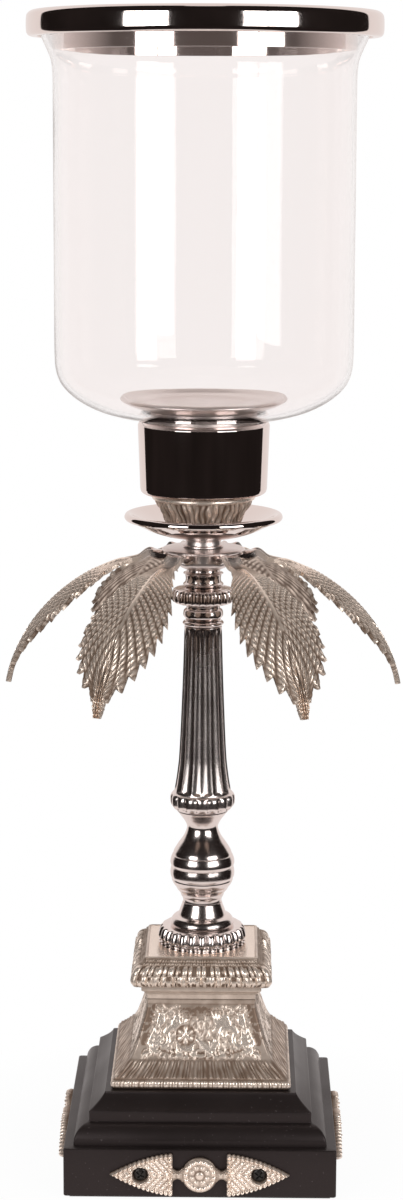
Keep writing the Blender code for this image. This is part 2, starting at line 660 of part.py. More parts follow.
def gadroon_ring(z):
    """The wide ring with upright lobes all round its edge."""
    radius = GADROON_RING_RADIUS
    height = GADROON_RING_HEIGHT
    outer = [(radius - RING_DRAW_IN, 0.0), (radius - EDGE_BREAK, 0.12 * height), (radius, 0.35 * height)]
    outer += [(radius, 0.65 * height), (radius - 2.0 * EDGE_BREAK, 0.86 * height)]
    outer += [(DRUM_RADIUS + RING_DRAW_IN, height - HAIR_STEP), (DRUM_RADIUS, height)]
    ring = turned("gadroon_ring", outer, "polished_nickel", z, GADROON_RING_LOBES * LOBE_SIDES)
    lobe(ring, GADROON_RING_LOBES, RING_LOBE_DEPTH, 0.05 * height, 0.9 * height, radius - RING_DRAW_IN)
    smooth(ring)
    return z + height


def collar_drum(z):
    """The drum under the leaf hub, with a bead at its foot and one at its top."""
    low = 0.22 * DRUM_HEIGHT
    high = 0.72 * DRUM_HEIGHT
    outer = [(DRUM_RADIUS, 0.0), (DRUM_RADIUS + DRUM_BEAD, 0.4 * low), (DRUM_RADIUS, low)]
    outer += [(DRUM_RADIUS - HAIR_STEP, (low + high) / 2.0), (DRUM_RADIUS, high)]
    outer += [(DRUM_RADIUS + DRUM_BEAD, high + DRUM_BEAD), (DRUM_RADIUS - PLAIN_STEP, high + 2.0 * DRUM_BEAD)]
    outer += [(DRUM_RADIUS - PLAIN_STEP, DRUM_HEIGHT)]
    smooth(turned("collar_drum", outer, "polished_nickel", z, SMALL_SIDES))
    return z + DRUM_HEIGHT


def leaf_hub(z):
    """The hub: a drawn-in boss that carries the stems, with a thin disc over them."""
    outer = [(HUB_RADIUS - HUB_CONE, 0.0), (HUB_RADIUS, HUB_CONE)]
    outer += [(HUB_RADIUS, HUB_HEIGHT), (DISC_RADIUS - HAIR_STEP, HUB_HEIGHT)]
    outer += [(DISC_RADIUS, HUB_HEIGHT + DISC_THICKNESS / 2.0)]
    outer += [(DISC_RADIUS - EDGE_BREAK, HUB_HEIGHT + DISC_THICKNESS)]
    outer += [(SPACER_RADIUS + SPACER_FLANGE, HUB_HEIGHT + DISC_THICKNESS + HAIR_STEP)]
    smooth(turned("leaf_hub", outer, "polished_nickel", z, LEAF_COUNT * HUB_SIDES))
    return z + outer[-1][1]


def leaf_spine(share):
    """Reach and drop of the leaf's spine: an arching fall that steepens to the tip."""
    root = HUB_RADIUS + SEAT
    full = LEAF_ARCH * math.pi / 2.0
    reach = root + (LEAF_REACH - root) * math.sin(share * full) / math.sin(full)
    past_disc = min(max((reach - DISC_RADIUS - SEAT) / HUMP_LENGTH, 0.0), 1.0)
    hump = HUMP_HEIGHT * math.sin(math.pi * past_disc) ** 2
    return reach, hump - LEAF_DROP * (1.0 - math.cos(share * math.pi / 2.0))


def share_at(reach):
    """The share of the spine at which the leaf reaches this far from the column."""
    root = HUB_RADIUS + SEAT
    full = LEAF_ARCH * math.pi / 2.0
    return math.asin((reach - root) / (LEAF_REACH - root) * math.sin(full)) / full


def blade_half_width(share):
    """Half the blade's width along its length: broad shoulders, then a taper to a narrow tongue."""
    rise = min(1.0, share / 0.38)
    shoulder = 0.52 + 0.48 * math.sin(rise * math.pi / 2.0)
    taper = math.cos(max(0.0, share - 0.38) / 0.62 * math.pi / 2.0) ** 0.8
    return max(BLADE_WIDTH / 2.0 * shoulder * taper, TIP_WIDTH / 2.0)


def leaf_rows():
    """Rows of a leaf as (share of the spine, half width, forward sweep of the edge)."""
    disc = DISC_RADIUS + SEAT
    stem_end = share_at(STEM_REACH)
    tip_start = 1.0 - TIP_LENGTH / math.hypot(LEAF_REACH, LEAF_DROP)
    stem = [0.0] + [share_at(disc + HUMP_LENGTH * part) for part in (0.0, 0.28, 0.56)]
    rows = [(share, STEM_WIDTH / 2.0, 0.0) for share in stem]
    pitch = (tip_start - stem_end) / TEETH
    for tooth in range(TEETH):
        notch = stem_end + pitch * (tooth + 0.18)
        point = stem_end + pitch * (tooth + 0.62)
        wide = blade_half_width((point - stem_end) / (tip_start - stem_end))
        rows.append((notch, max(wide - TOOTH_DEPTH, STEM_WIDTH / 2.0), 0.0))
        rows.append((point, wide, pitch * 0.45))
    for part, width in ((0.15, 0.62), (1.0, 0.34)):
        rows.append((tip_start + (1.0 - tip_start) * part, TIP_WIDTH * width, 0.0))
    return rows, stem_end


def leaf_mesh():
    """One palm leaf as an arched, toothed sheet along +X, wide across Y, its root face at the hub."""
    rows, stem_end = leaf_rows()
    across = np.array([-1.0, -0.52, 0.0, 0.52, 1.0])
    points = []
    for share, half, sweep in rows:
        blade = min(1.0, max(0.0, (share - stem_end) / 0.12))
        gutter = STEM_GUTTER * (1.0 - blade) * min(1.0, share / stem_end)
        for v in across:
            reach, drop = leaf_spine(min(1.0, share + sweep * max(0.0, abs(v) - 0.5) * 2.0))
            spread = v * half
            sag = BLADE_DROOP * blade * (2.0 * spread / BLADE_WIDTH) ** 2
            points.append((reach, spread, drop - sag - gutter * (1.0 - abs(v))))
    count = len(across)
    faces = []
    for i in range(len(rows) - 1):
        for j in range(count - 1):
            a = i * count + j
            faces.append((a, a + count, a + count + 1, a + 1))
    mesh = bpy.data.meshes.new("palm_leaf")
    mesh.from_pydata(points, [], faces)
    return mesh


def palm_leaves(z):
    """Six leaves round the hub, each hanging from its own stem just below the disc."""
    mesh = leaf_mesh()
    for number in range(LEAF_COUNT):
        name = "palm_leaf_%d" % (number + 1)
        turn = number * math.tau / LEAF_COUNT
        leaf = place(mesh.copy(), name, "antique_nickel", z + HUB_HEIGHT - SEAT, turn)
        wall = leaf.modifiers.new("thickness", "SOLIDIFY")
        wall.thickness = BLADE_THICKNESS
        wall.offset = -1.0
        smooth(leaf)


def neck_spacer(z):
    flange = SPACER_RADIUS + SPACER_FLANGE
    outer = [(flange, 0.0), (flange, SPACER_FLANGE), (SPACER_RADIUS, SPACER_FLANGE + HAIR_STEP)]
    outer += [(SPACER_RADIUS, SPACER_HEIGHT - EDGE_BREAK), (SPACER_RADIUS + EDGE_BREAK, SPACER_HEIGHT)]
    smooth(turned("neck_spacer", outer, "polished_nickel", z, SMALL_SIDES))
    return z + SPACER_HEIGHT


def drip_pan(z):
    """The shallow dished pan with a rolled rim; returns the height of its floor."""
    rim_r = PAN_RADIUS - PAN_RIM_RADIUS
    rim_z = PAN_HEIGHT - PAN_RIM_RADIUS
    outer = [(PAN_FOOT_RADIUS, 0.0)]
    under = (rim_r - PAN_FOOT_RADIUS, rim_z - PLAIN_STEP)
    outer += arc((PAN_FOOT_RADIUS, rim_z - HAIR_STEP), under, -78, -18, 4)
    outer += arc((rim_r, rim_z), (PAN_RIM_RADIUS, PAN_RIM_RADIUS), -60, 110, 4)
    floor = PAN_WALL + HAIR_STEP
    inner_r = rim_r - PAN_RIM_RADIUS - HAIR_STEP
    inner_z = PAN_HEIGHT - EDGE_BREAK - PLAIN_STEP
    inner = arc((CALYX_FOOT_RADIUS, inner_z), (inner_r - CALYX_FOOT_RADIUS, inner_z - floor), -15, -90, 4)
    inner += [(ROD_HOLE, floor), (ROD_HOLE, 0.0)]
    smooth(turned("drip_pan", outer, "polished_nickel", z, FINE_SIDES, inner=inner))
    return z + floor


def calyx_cone(z):
    """The cast leafy cone under the cup, with a smooth lip."""
    top = CALYX_HEIGHT
    lip = top - CALYX_LIP
    outer = [(CALYX_FOOT_RADIUS - EDGE_BREAK, 0.0)]
    for t in np.linspace(0.15, 1.0, 3):
        swell = CALYX_FOOT_RADIUS + (CALYX_TOP_RADIUS - CALYX_LIP_OVERHANG - CALYX_FOOT_RADIUS) * t ** 1.15
        outer.append((swell, lip * t))
    outer += [(CALYX_TOP_RADIUS, lip + HAIR_STEP), (CALYX_TOP_RADIUS, top - HAIR_STEP)]
    outer += [(CALYX_TOP_RADIUS - EDGE_BREAK, top)]
    cone = turned("calyx_cone", outer, "antique_nickel", z, CALYX_LOBES * LOBE_SIDES)
    lobe(cone, CALYX_LOBES, CALYX_LOBE_DEPTH, 0.05 * lip, 0.9 * lip, CALYX_FOOT_RADIUS / 2.0)
    smooth(cone)
    return z + top


def glass_cup(z):
    """The cup that the shade's neck stands in; returns the heights of its floor and its rim."""
    outer = arc((CUP_FOOT_RADIUS - CUP_ROUND, CUP_ROUND), (CUP_ROUND, CUP_ROUND), -90, -10, 3)
    outer += [(CUP_TOP_RADIUS, CUP_HEIGHT - CUP_BEVEL)]
    outer += [(CUP_TOP_RADIUS - EDGE_BREAK, CUP_HEIGHT)]
    bottom = CUP_FOOT_RADIUS - CUP_WALL
    inner = [(CUP_TOP_RADIUS - CUP_WALL, CUP_HEIGHT), (bottom, CUP_ROUND + CUP_FLOOR)]
    inner += [(bottom, CUP_FLOOR), (ROD_HOLE, CUP_FLOOR), (ROD_HOLE, 0.0)]
    smooth(turned("glass_cup", outer, "polished_nickel", z, FINE_SIDES, inner=inner))
    return z + CUP_FLOOR, z + CUP_HEIGHT


def hex_nut(name, z):
    mesh = bpy.data.meshes.new(name)
    made = bmesh.new()
    corner = NUT_ACROSS_FLATS / math.sqrt(3.0)
    bmesh.ops.create_cone(made, cap_ends=True, segments=6, radius1=corner, radius2=corner, depth=NUT_HEIGHT)
    bmesh.ops.translate(made, verts=made.verts, vec=(0.0, 0.0, NUT_HEIGHT / 2.0))
    made.to_mesh(mesh)
    made.free()
    nut = place(mesh, name, "plain_steel", z)
    top = z + NUT_HEIGHT
    cut(nut, cutter_cylinder(name + "_bore", ROD_HOLE, z - CUT_PAST, top + CUT_PAST, sides=ROD_SIDES))
    return top


def washer(name, z, radius=WASHER_RADIUS):
    outer = [(radius, 0.0), (radius, WASHER_THICKNESS)]
    turned(name, outer, "plain_steel", z, ROD_SIDES)
    return z + WASHER_THICKNESS


def tie_rod(low, high):
    mesh = bpy.data.meshes.new("tie_rod")
    made = bmesh.new()
    bmesh.ops.create_cone(made, cap_ends=True, segments=ROD_SIDES, radius1=ROD_RADIUS, radius2=ROD_RADIUS,
                          depth=high - low)
    made.to_mesh(mesh)
    made.free()
    smooth(place(mesh, "tie_rod", "plain_steel", (low + high) / 2.0))


def glass_seal(z):
    """The soft ring on the cup's floor that the shade's neck stands on."""
    outer = [(NECK_RADIUS, 0.0), (NECK_RADIUS, SEAL_THICKNESS)]
    inner_r = SPIGOT_RADIUS + SPIGOT_CLEARANCE
    inner = [(inner_r, SEAL_THICKNESS), (inner_r, 0.0)]
    turned("glass_seal", outer, "clear_rubber", z, SMALL_SIDES, inner=inner)
    return z + SEAL_THICKNESS


def glass_radius(height):
    """The glass's outer radius at a height above the top of its straight body."""
    share = min(1.0, max(0.0, height / GLASS_FLARE_HEIGHT))
    return GLASS_RADIUS + GLASS_FLARE_RUN * share ** GLASS_FLARE_POWER


def glass_shade(z, cup_rim):
    """The blown shade: a neck in the cup, a round bowl, a straight body and a flared mouth."""
    bowl = cup_rim + GLASS_NECK_FILLET * 0.4 - z
    outer = [(NECK_RADIUS, 0.0), (NECK_RADIUS, bowl - GLASS_NECK_FILLET)]
    start = NECK_RADIUS + GLASS_NECK_FILLET
    outer.append((NECK_RADIUS + 0.3 * GLASS_NECK_FILLET, bowl - EDGE_BREAK))
    run = GLASS_RADIUS - start
    for t in np.linspace(0.04, 0.5 * math.pi, 6):
        across = math.sin(t) ** (2.0 / GLASS_BOWL_POWER)
        up = 1.0 - math.cos(t) ** (2.0 / GLASS_BOWL_POWER)
        outer.append((start + run * across, bowl + GLASS_BOWL_HEIGHT * up))
    body = bowl + GLASS_BOWL_HEIGHT + GLASS_BODY_HEIGHT
    outer.append((GLASS_RADIUS, body))
    for height in np.linspace(0.4, 1.0, 3) * GLASS_FLARE_HEIGHT:
        outer.append((glass_radius(height), body + height))
    top = body + GLASS_FLARE_HEIGHT + GLASS_LIP_HEIGHT
    outer.append((GLASS_LIP_RADIUS, top))
    shade = place(profile_mesh("glass_shade", list(reversed(outer)), False), "glass_shade", "clear_glass", z)
    add_screw(shade, FINE_SIDES)
    wall = shade.modifiers.new("thickness", "SOLIDIFY")
    wall.thickness = GLASS_THICKNESS
    wall.offset = -1.0
    wall.use_even_offset = True
    smooth(shade)
    return z + top


def rim_ring(glass_top):
    """The polished ring over the shade's mouth: a rounded band outside and a plain skirt inside."""
    z = glass_top + SEAT + RING_TOP_THICKNESS - RING_BAND_HEIGHT
    band = RING_BAND_HEIGHT
    groove = GLASS_LIP_RADIUS + LIP_CLEARANCE
    under = band - RING_TOP_THICKNESS
    skirt_low = band - RING_SKIRT_HEIGHT
    in_glass = RING_SKIRT_HEIGHT - RING_TOP_THICKNESS - SEAT
    narrowest = glass_radius(GLASS_FLARE_HEIGHT + GLASS_LIP_HEIGHT - in_glass)
    skirt_out = narrowest - 1.1 * GLASS_THICKNESS - RING_SKIRT_CLEARANCE
    skirt_in = skirt_out - RING_SKIRT_WALL
    outer = [(groove, 0.0)]
    foot = RING_FOOT_ROUND
    head = RING_TOP_ROUND
    outer += arc((RING_RADIUS - foot, foot), (foot, foot), -90, 0, 3)
    outer += arc((RING_RADIUS - head, band - head), (head, head), 0, 90, 4)
    inner = [(skirt_in + PLAIN_STEP, band), (skirt_in, band - PLAIN_STEP), (skirt_in, skirt_low)]
    inner += [(skirt_out, skirt_low), (skirt_out, under), (groove, under)]
    smooth(turned("rim_ring", outer, "polished_nickel", z, FINE_SIDES, inner=inner))
    return z + band


def candle_plate(cup_floor, cup_rim):
    """The flared plate on its hollow spigot, which stands on the cup's floor inside the neck."""
    z = cup_floor + SEAT
    dish = cup_rim + GLASS_THICKNESS + GLASS_NECK_FILLET + PLATE_FLOAT - z
    rim_r = PLATE_RADIUS - PLATE_RIM_RADIUS
    rim_z = dish + PLATE_WALL + PLATE_RISE - PLATE_RIM_RADIUS
    outer = [(SPIGOT_RADIUS, 0.0), (SPIGOT_RADIUS, dish - PLAIN_STEP), (SPIGOT_RADIUS + PLAIN_STEP, dish)]
    outer += arc((PLATE_DISH_RADIUS, rim_z), (rim_r - PLATE_DISH_RADIUS, rim_z - dish), -90, -25, 3)
    outer += arc((rim_r, rim_z), (PLATE_RIM_RADIUS, PLATE_RIM_RADIUS), -50, 110, 3)
    floor = dish + PLATE_WALL
    inner_r = rim_r - PLATE_RIM_RADIUS - HAIR_STEP
    centre = (PLATE_DISH_RADIUS - PLAIN_STEP, rim_z + HAIR_STEP)
    inner = arc(centre, (inner_r - centre[0], centre[1] - floor), -10, -90, 3)
    inner += [(0.0, floor)]
    hollow = SPIGOT_RADIUS - SPIGOT_WALL
    under = [(0.0, dish), (hollow, dish), (hollow, 0.0)]
    chain = list(reversed(inner)) + list(reversed(outer)) + list(reversed(under))
    plate = place(profile_mesh("candle_plate", chain, False), "candle_plate", "polished_nickel", z)
    add_screw(plate, FINE_SIDES)
    smooth(plate)
    return z + floor


def build():
    """Stack the pieces from the ground up, each a seat gap above the one that carries it."""
    pad_top = felt_pad(0.0)
    base_z = pad_top + SEAT
    base_top = wood_base(base_z)
    base_mounts(base_z)
    nut_z = base_z + COUNTERBORE_DEPTH - SEAT - WASHER_THICKNESS - SEAT - NUT_HEIGHT
    hex_nut("base_nut", nut_z)
    washer("base_washer", nut_z + NUT_HEIGHT + SEAT)
    pedestal_top = pedestal_body(base_top + SEAT)
    cap_top = pedestal_cap(pedestal_top + SEAT)
    dome_top = gadrooned_dome(cap_top + SEAT)
    knop_top = pear_knop(dome_top + SEAT)
    shaft_top = fluted_shaft(knop_top + SEAT)
    bead_top = bead_ring(shaft_top + SEAT)
    collar_top = lower_collar(bead_top + SEAT)
    ring_top = gadroon_ring(collar_top + SEAT)
    drum_top = collar_drum(ring_top + SEAT)
    hub_z = drum_top + SEAT
    hub_top = leaf_hub(hub_z)
    palm_leaves(hub_z)
    spacer_top = neck_spacer(hub_top + SEAT)
    pan_floor = drip_pan(spacer_top + SEAT)
    calyx_top = calyx_cone(pan_floor + SEAT)
    cup_floor, cup_rim = glass_cup(calyx_top + SEAT)
    washer_top = washer("cup_washer", cup_floor + SEAT)
    cup_nut_top = hex_nut("cup_nut", washer_top + SEAT)
    tie_rod(nut_z - ROD_STICK_OUT, cup_nut_top + ROD_STICK_OUT)
    seal_top = glass_seal(cup_floor + SEAT)
    glass_top = glass_shade(seal_top + SEAT, cup_rim)
    height = rim_ring(glass_top)
    plate_floor = candle_plate(cup_floor, cup_rim)
    for label, value in (("base", base_top), ("pedestal", pedestal_top), ("cap", cap_top),
                         ("dome", dome_top), ("knop", knop_top), ("shaft", shaft_top),
                         ("collar", collar_top), ("ring", ring_top), ("drum", drum_top),
                         ("hub", hub_top), ("pan floor", pan_floor), ("calyx", calyx_top),
                         ("cup rim", cup_rim), ("plate floor", plate_floor), ("overall", height)):
        print("%-12s top at %.1f mm" % (label, value / MM))


clear_scene()
PIECES = collection("hurricane_candle_holder")
CUTTERS = collection("cutters", hidden=True)
build()
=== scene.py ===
"""Looks of a hurricane candle holder: a glass shade on a palm tree standard and a wooden base.

Sizes are in millimetres. Heights on a piece are measured from its own foot, and every place comes from
the boxes of the construction's pieces. A turned piece is an outline of (radius, height) points.
"""

import math

import bpy
import numpy as np
from mathutils import Matrix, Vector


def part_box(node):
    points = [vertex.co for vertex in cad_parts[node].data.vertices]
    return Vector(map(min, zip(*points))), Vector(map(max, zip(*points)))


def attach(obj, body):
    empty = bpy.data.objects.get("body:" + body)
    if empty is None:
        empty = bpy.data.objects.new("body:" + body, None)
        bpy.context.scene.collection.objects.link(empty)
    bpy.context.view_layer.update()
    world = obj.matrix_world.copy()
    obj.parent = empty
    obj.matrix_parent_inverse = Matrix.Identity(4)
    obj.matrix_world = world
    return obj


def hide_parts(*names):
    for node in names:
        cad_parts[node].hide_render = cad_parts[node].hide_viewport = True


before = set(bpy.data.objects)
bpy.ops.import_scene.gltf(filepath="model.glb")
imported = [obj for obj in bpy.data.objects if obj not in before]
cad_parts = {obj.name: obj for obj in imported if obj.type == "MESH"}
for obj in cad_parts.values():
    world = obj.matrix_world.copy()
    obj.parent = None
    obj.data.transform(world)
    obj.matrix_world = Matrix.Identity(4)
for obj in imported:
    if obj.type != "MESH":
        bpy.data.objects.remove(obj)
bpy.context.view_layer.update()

MM = 0.001
TAU = 2 * math.pi
TINY = 1e-9

# The camera, fitted to the photograph's own perspective
PHOTO_HEIGHT = 1200
FOCAL_PIXELS = 2674
SENSOR = 36.0
CAMERA_DISTANCE = 1371.1
CAMERA_HEIGHT = 545.8
CAMERA_PITCH = 10.121
CAMERA_YAW = 0.038
CAMERA_SIDE_TURN = 0.70
CAMERA_ROLL = 0.18

# The studio. A soft box has an angle from the front, a width and the height of its lower edge
SOFT_BOXES = ((-42.4, 414, 240), (-28.3, 334, 280), (31.8, 390, 240), (50.0, 507, 275))
SOFT_BOX_DISTANCE = 1500
SOFT_BOX_TOP = 1000
SOFT_BOX_POWER = 16.0
ROOM_RADIUS = 2500
ROOM_MIDDLE = 250
ROOM_HALF_ARC = 127
TABLE_EDGE = 280
FLOOR_REACH = 9000
WHITE = (1, 1, 1, 1)
PALE_WALL = (0.87, 0.81, 0.79, 1)
AMBIENT = 0.55

# Round pieces: their sides, their bore, and how near to the axis a closed outline ends
SIDES = 168
SHADE_SIDES = 192
BORE = 3.4
AXIS = 0.05
DOME_LOBES = 26
SHAFT_FLUTES = 16
RING_LOBES = 22
CALYX_LEAVES = 12
CALYX_STRANDS = 46
CALYX_LEAF_TOP = 16.9

# The glass
SHADE_RADIUS = 76.6
NECK_RADIUS = 30.5
GLASS_WALL = 2.2

# The thin disc of the hub, from the hub's foot, and the palm leaves under it
DISC_FOOT = 9.2
LEAF_COUNT = 6
LEAF_STEM_END = 37.0
LEAF_STEM_HALF = 4.4
LEAF_TEETH = 10
LEAF_DROP = 69.2
LEAF_CLEARANCE = 2.0
LEAF_THICKNESS = 1.6
BEAD_LENGTH = 3.2
STEM_ROWS, BLADE_ROWS, LEAF_COLUMNS = 36, 300, 121

# The cup stands a little higher here than in the construction
CUP_RAISED = 1.1
MOUTH_RAISED = 2.4

# Mounts on the base
WING_START = 14.0
WING_BEADS = 14
SCREW_SPREAD = 30.5

# Ornament of a face of the pedestal: the rosette's place, the foot of the scrolls and the grid of
# small leaflets
ROSETTE = (-8.4, 24.4)
SCROLLS_FOOT = 13.0
SPRIG_ROWS, SPRIG_COLUMNS, SPRIG_SEED = 9, 11, 11


def low(name):
    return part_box(name)[0].z / MM


def high(name):
    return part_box(name)[1].z / MM


def tall(name):
    return high(name) - low(name)


def reach(name):
    """How far a piece goes along +X from the middle."""
    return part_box(name)[1].x / MM


def bend(*points, steps=6):
    """A smooth run through points. Between b and c, with a and d the points on either side, it is
    half of 2b + (c - a)t + (2a - 5b + 4c - d)t^2 + (3b - a - 3c + d)t^3."""
    p = np.array(points, float)
    p = np.vstack([2 * p[0] - p[1], p, 2 * p[-1] - p[-2]])
    a, b, c, d = (p[i:len(p) - 3 + i, None, :] for i in range(4))
    t = np.linspace(0, 1, steps, endpoint=False)[None, :, None]
    curve = 0.5 * (2 * b + (c - a) * t + (2 * a - 5 * b + 4 * c - d) * t ** 2
                   + (3 * b - a - 3 * c + d) * t ** 3)
    return np.vstack([curve.reshape(-1, p.shape[1]), p[-2:-1]])


def outline(*runs, corner=0.3, closed=True):
    """Runs joined end to end. A run is a bend, or a plain list of corner points, and each corner p
    becomes the arc (1-t)^2 a + 2t(1-t) p + t^2 b, where a and b lie on its two sides."""
    points, radii = [], []
    for run in runs:
        path = np.array(run, float)
        radius = np.full(len(path), corner)
        if isinstance(run, np.ndarray):
            radius[1:-1] = 0
        if points and np.allclose(points[-1][-1], path[0]):
            path, radius = path[1:], radius[1:]
        points.append(path)
        radii.append(radius)
    p, radius = np.vstack(points), np.concatenate(radii)
    if not closed:
        radius[[0, -1]] = 0

    def towards(neighbour):
        side = neighbour - p
        span = np.maximum(np.hypot(*side.T), TINY)
        return p + side * (np.minimum(radius, 0.45 * span) / span)[:, None]

    a, b = towards(np.roll(p, 1, 0)), towards(np.roll(p, -1, 0))
    t = np.linspace(0, 1, 4)[None, :, None]
    line = (1 - t) ** 2 * a[:, None] + 2 * t * (1 - t) * p[:, None] + t ** 2 * b[:, None]
    line = line.reshape(-1, 2)
    keep = np.hypot(*(line - np.roll(line, 1, 0)).T) > 1e-4
    keep[0] = keep[0] or not closed
    return line[keep]


def unit(x):
    return np.clip(x, 0, 1)


def ease(x, start, end):
    """0 before start and 1 after end, and 3t^2 - 2t^3 between them."""
    t = unit((x - start) / (end - start))
    return t * t * (3 - 2 * t)


def fade(x, start, end):
    return 1 - ease(x, start, end)


def between(x, start, full, ebb, end):
    """1 from full to ebb, easing to 0 at start and end."""
    return ease(x, start, full) * fade(x, ebb, end)


def swell(x):
    """A half circle: the root of 1 - x^2, and 0 beyond it."""
    return np.sqrt(np.maximum(1 - x ** 2, 0))


def zigzag(phase):
    """1 at each whole phase and 0 halfway between."""
    return np.abs(2 * (phase - np.floor(phase)) - 1)


def ridge(phase, power=2.0):
    """A row of rounded ridges, one for each whole phase: 1 at its middle and 0 at the grooves."""
    return 1 - zigzag(phase) ** power


def bead(offset):
    """One ridge, 1 wide, about an offset of 0."""
    return ridge(0.5 + np.clip(offset, -0.5, 0.5))


def tent(offset):
    """1 at an offset of 0, and straight down to 0 at -1 and 1."""
    return unit(1 - np.abs(offset))


def outward(co, quads, fans):
    """Faces that point outwards: the tetrahedra from the origin to them hold a positive volume."""
    thirds = np.vstack([quads[:, [0, 1, 2]], quads[:, [0, 2, 3]], fans])
    a, b, c = (co[thirds[:, i]] for i in range(3))
    if np.einsum("ij,ij->", a, np.cross(b, c)) < 0:
        return quads[:, ::-1], fans[:, ::-1]
    return quads, fans


def surface(name, points, around=True, along=False, ends=False, relief=None, sharp=40.0):
    """A mesh over a grid of points (rows, columns, 3) in millimetres, with one face in each cell.
    around joins the last column to the first, along the last row to the first, and ends closes
    each end row with a fan about its middle."""
    rows, columns = points.shape[:2]
    index = np.arange(rows * columns).reshape(rows, columns)
    grid = np.hstack([index, index[:, :1]]) if around else index
    grid = np.vstack([grid, grid[:1]]) if along else grid
    quads = np.stack([grid[:-1, :-1], grid[:-1, 1:], grid[1:, 1:], grid[1:, :-1]], -1).reshape(-1, 4)
    co = points.reshape(-1, 3) * MM
    fans = np.empty((0, 3), int)
    if ends:
        first = np.full(columns, len(co))
        fans = np.vstack([np.stack([index[0], first, np.roll(index[0], -1)], -1),
                          np.stack([np.roll(index[-1], -1), first + 1, index[-1]], -1)])
        co = np.vstack([co, points[0].mean(0) * MM, points[-1].mean(0) * MM])
    quads, fans = outward(co, quads, fans)
    mesh = bpy.data.meshes.new(name)
    mesh.vertices.add(len(co))
    mesh.vertices.foreach_set("co", co.astype(np.float32).ravel())
    mesh.loops.add(quads.size + fans.size)
    mesh.loops.foreach_set("vertex_index", np.concatenate([quads.ravel(), fans.ravel()]).astype(np.int32))
    starts = np.concatenate([np.arange(len(quads)) * 4, quads.size + np.arange(len(fans)) * 3])
    mesh.polygons.add(len(starts))
    mesh.polygons.foreach_set("loop_start", starts.astype(np.int32))
    mesh.update(calc_edges=True)
    mesh.validate()
    height = np.ones(len(co), np.float32)
    if relief is not None:
        height[:relief.size] = relief.ravel()
    mesh.attributes.new("relief", "FLOAT", "POINT").data.foreach_set("value", height)
    mesh.shade_smooth()
    mesh.set_sharp_from_angle(angle=math.radians(sharp))
    return place(name, mesh)


def place(name, data):
    made = bpy.data.objects.new(name, data)
    bpy.context.scene.collection.objects.link(made)
    return made


def turned(name, line, press=None, relief=None, foot=0.0, sides=SIDES, closed=True, sharp=40.0):
    """A turned surface: x = r cos a, y = r sin a, and z is the outline's height over the foot.
    press(r, z, a) gives a new radius, with lobes or flutes, and relief(r, z, a) says how high the
    casting stands, from 0 to 1."""
    a = np.linspace(0, TAU, sides, endpoint=False)[None, :] + 0 * line[:, :1]
    r, z = line[:, :1] + 0 * a, line[:, 1:] + 0 * a
    stands = relief(r, z, a) if relief else None
    r = press(r, z, a) if press else r
    points = np.stack([r * np.cos(a), r * np.sin(a), z + foot], -1)
    return surface(name, points, along=closed, ends=not closed, relief=stands, sharp=sharp)


def square_ring(side_steps, corner_steps):
    """The points of a square ring with round corners, as three arrays: the corner or side point that
    each one belongs to, from -1 to 1, its outward direction, and its share along its own side."""
    share = np.linspace(-1, 1, side_steps)
    swing = np.linspace(0, math.pi / 2, corner_steps + 2)[1:-1]
    anchor = np.vstack([np.stack([np.ones_like(share), share], -1), np.ones((corner_steps, 2))])
    facing = np.vstack([np.tile([1.0, 0.0], (side_steps, 1)), np.stack([np.cos(swing), np.sin(swing)], -1)])
    along = np.concatenate([share, np.ones(corner_steps)])
    turns = [np.array([[math.cos(q), math.sin(q)], [-math.sin(q), math.cos(q)]])
             for q in np.arange(4) * math.pi / 2]
    return (np.vstack([anchor @ turn for turn in turns]), np.vstack([facing @ turn for turn in turns]),
            np.tile(along, 4))


def mitred(name, node_name, finish, line, corner, side_steps=3, corner_steps=3, carve=None, sharp=60.0):
    """A square moulding: each outline point (half width, height) is carried round a square whose
    corners have a small radius. carve(share, z, half) raises the surface along its own normal."""
    anchor, facing, share = square_ring(side_steps, corner_steps)
    half = line[:, 0][:, None, None]
    radius = np.minimum(corner, 0.5 * half)
    flat = (half - radius) * anchor[None] + radius * facing[None]
    height = line[:, 1:] + 0 * flat[..., 0]
    relief = None
    if carve:
        raised, relief = carve(share[None, :] + 0 * height, height, line[:, :1] + 0 * height)
        step = np.gradient(line, axis=0)
        step /= np.maximum(np.hypot(*step.T), TINY)[:, None]
        step *= np.sign(line[-1, 1] - line[0, 1])
        flat = flat + (raised * step[:, 1:])[..., None] * facing[None]
        height = height - raised * step[:, :1]
    points = np.concatenate([flat, height[..., None] + low(node_name)], -1)
    fit(surface(name, points, ends=True, relief=relief, sharp=sharp), node_name, finish)


def feed(tree, made, **inputs):
    """Give a node its inputs. An input is a value or another node's socket, and i0, i1 and so on name
    an input by its number."""
    for key, value in inputs.items():
        socket = made.inputs[int(key[1:])] if key[1:].isdigit() else made.inputs[key.replace("_", " ")]
        if isinstance(value, bpy.types.NodeSocket):
            tree.links.new(value, socket)
        else:
            socket.default_value = value
    return made


def node(tree, kind, settings=None, **inputs):
    """A new shader node with its settings and inputs."""
    made = tree.nodes.new("ShaderNode" + kind)
    for key, value in (settings or {}).items():
        setattr(made, key, value)
    return feed(tree, made, **inputs)


def maths(tree, operation, first, second=0.0):
    return node(tree, "Math", {"operation": operation}, i0=first, i1=second).outputs[0]


def plus(tree, first, second):
    return maths(tree, "ADD", first, second)


def minus(tree, first, second):
    return maths(tree, "SUBTRACT", first, second)


def times(tree, first, second):
    return maths(tree, "MULTIPLY", first, second)


def mix(tree, factor, first, second):
    return node(tree, "Mix", {"data_type": "RGBA"}, i0=factor, i6=first, i7=second).outputs[2]


def remap(tree, value, from_low, from_high, to_low=0.0, to_high=1.0):
    return node(tree, "MapRange", i0=value, i1=from_low, i2=from_high, i3=to_low, i4=to_high).outputs[0]


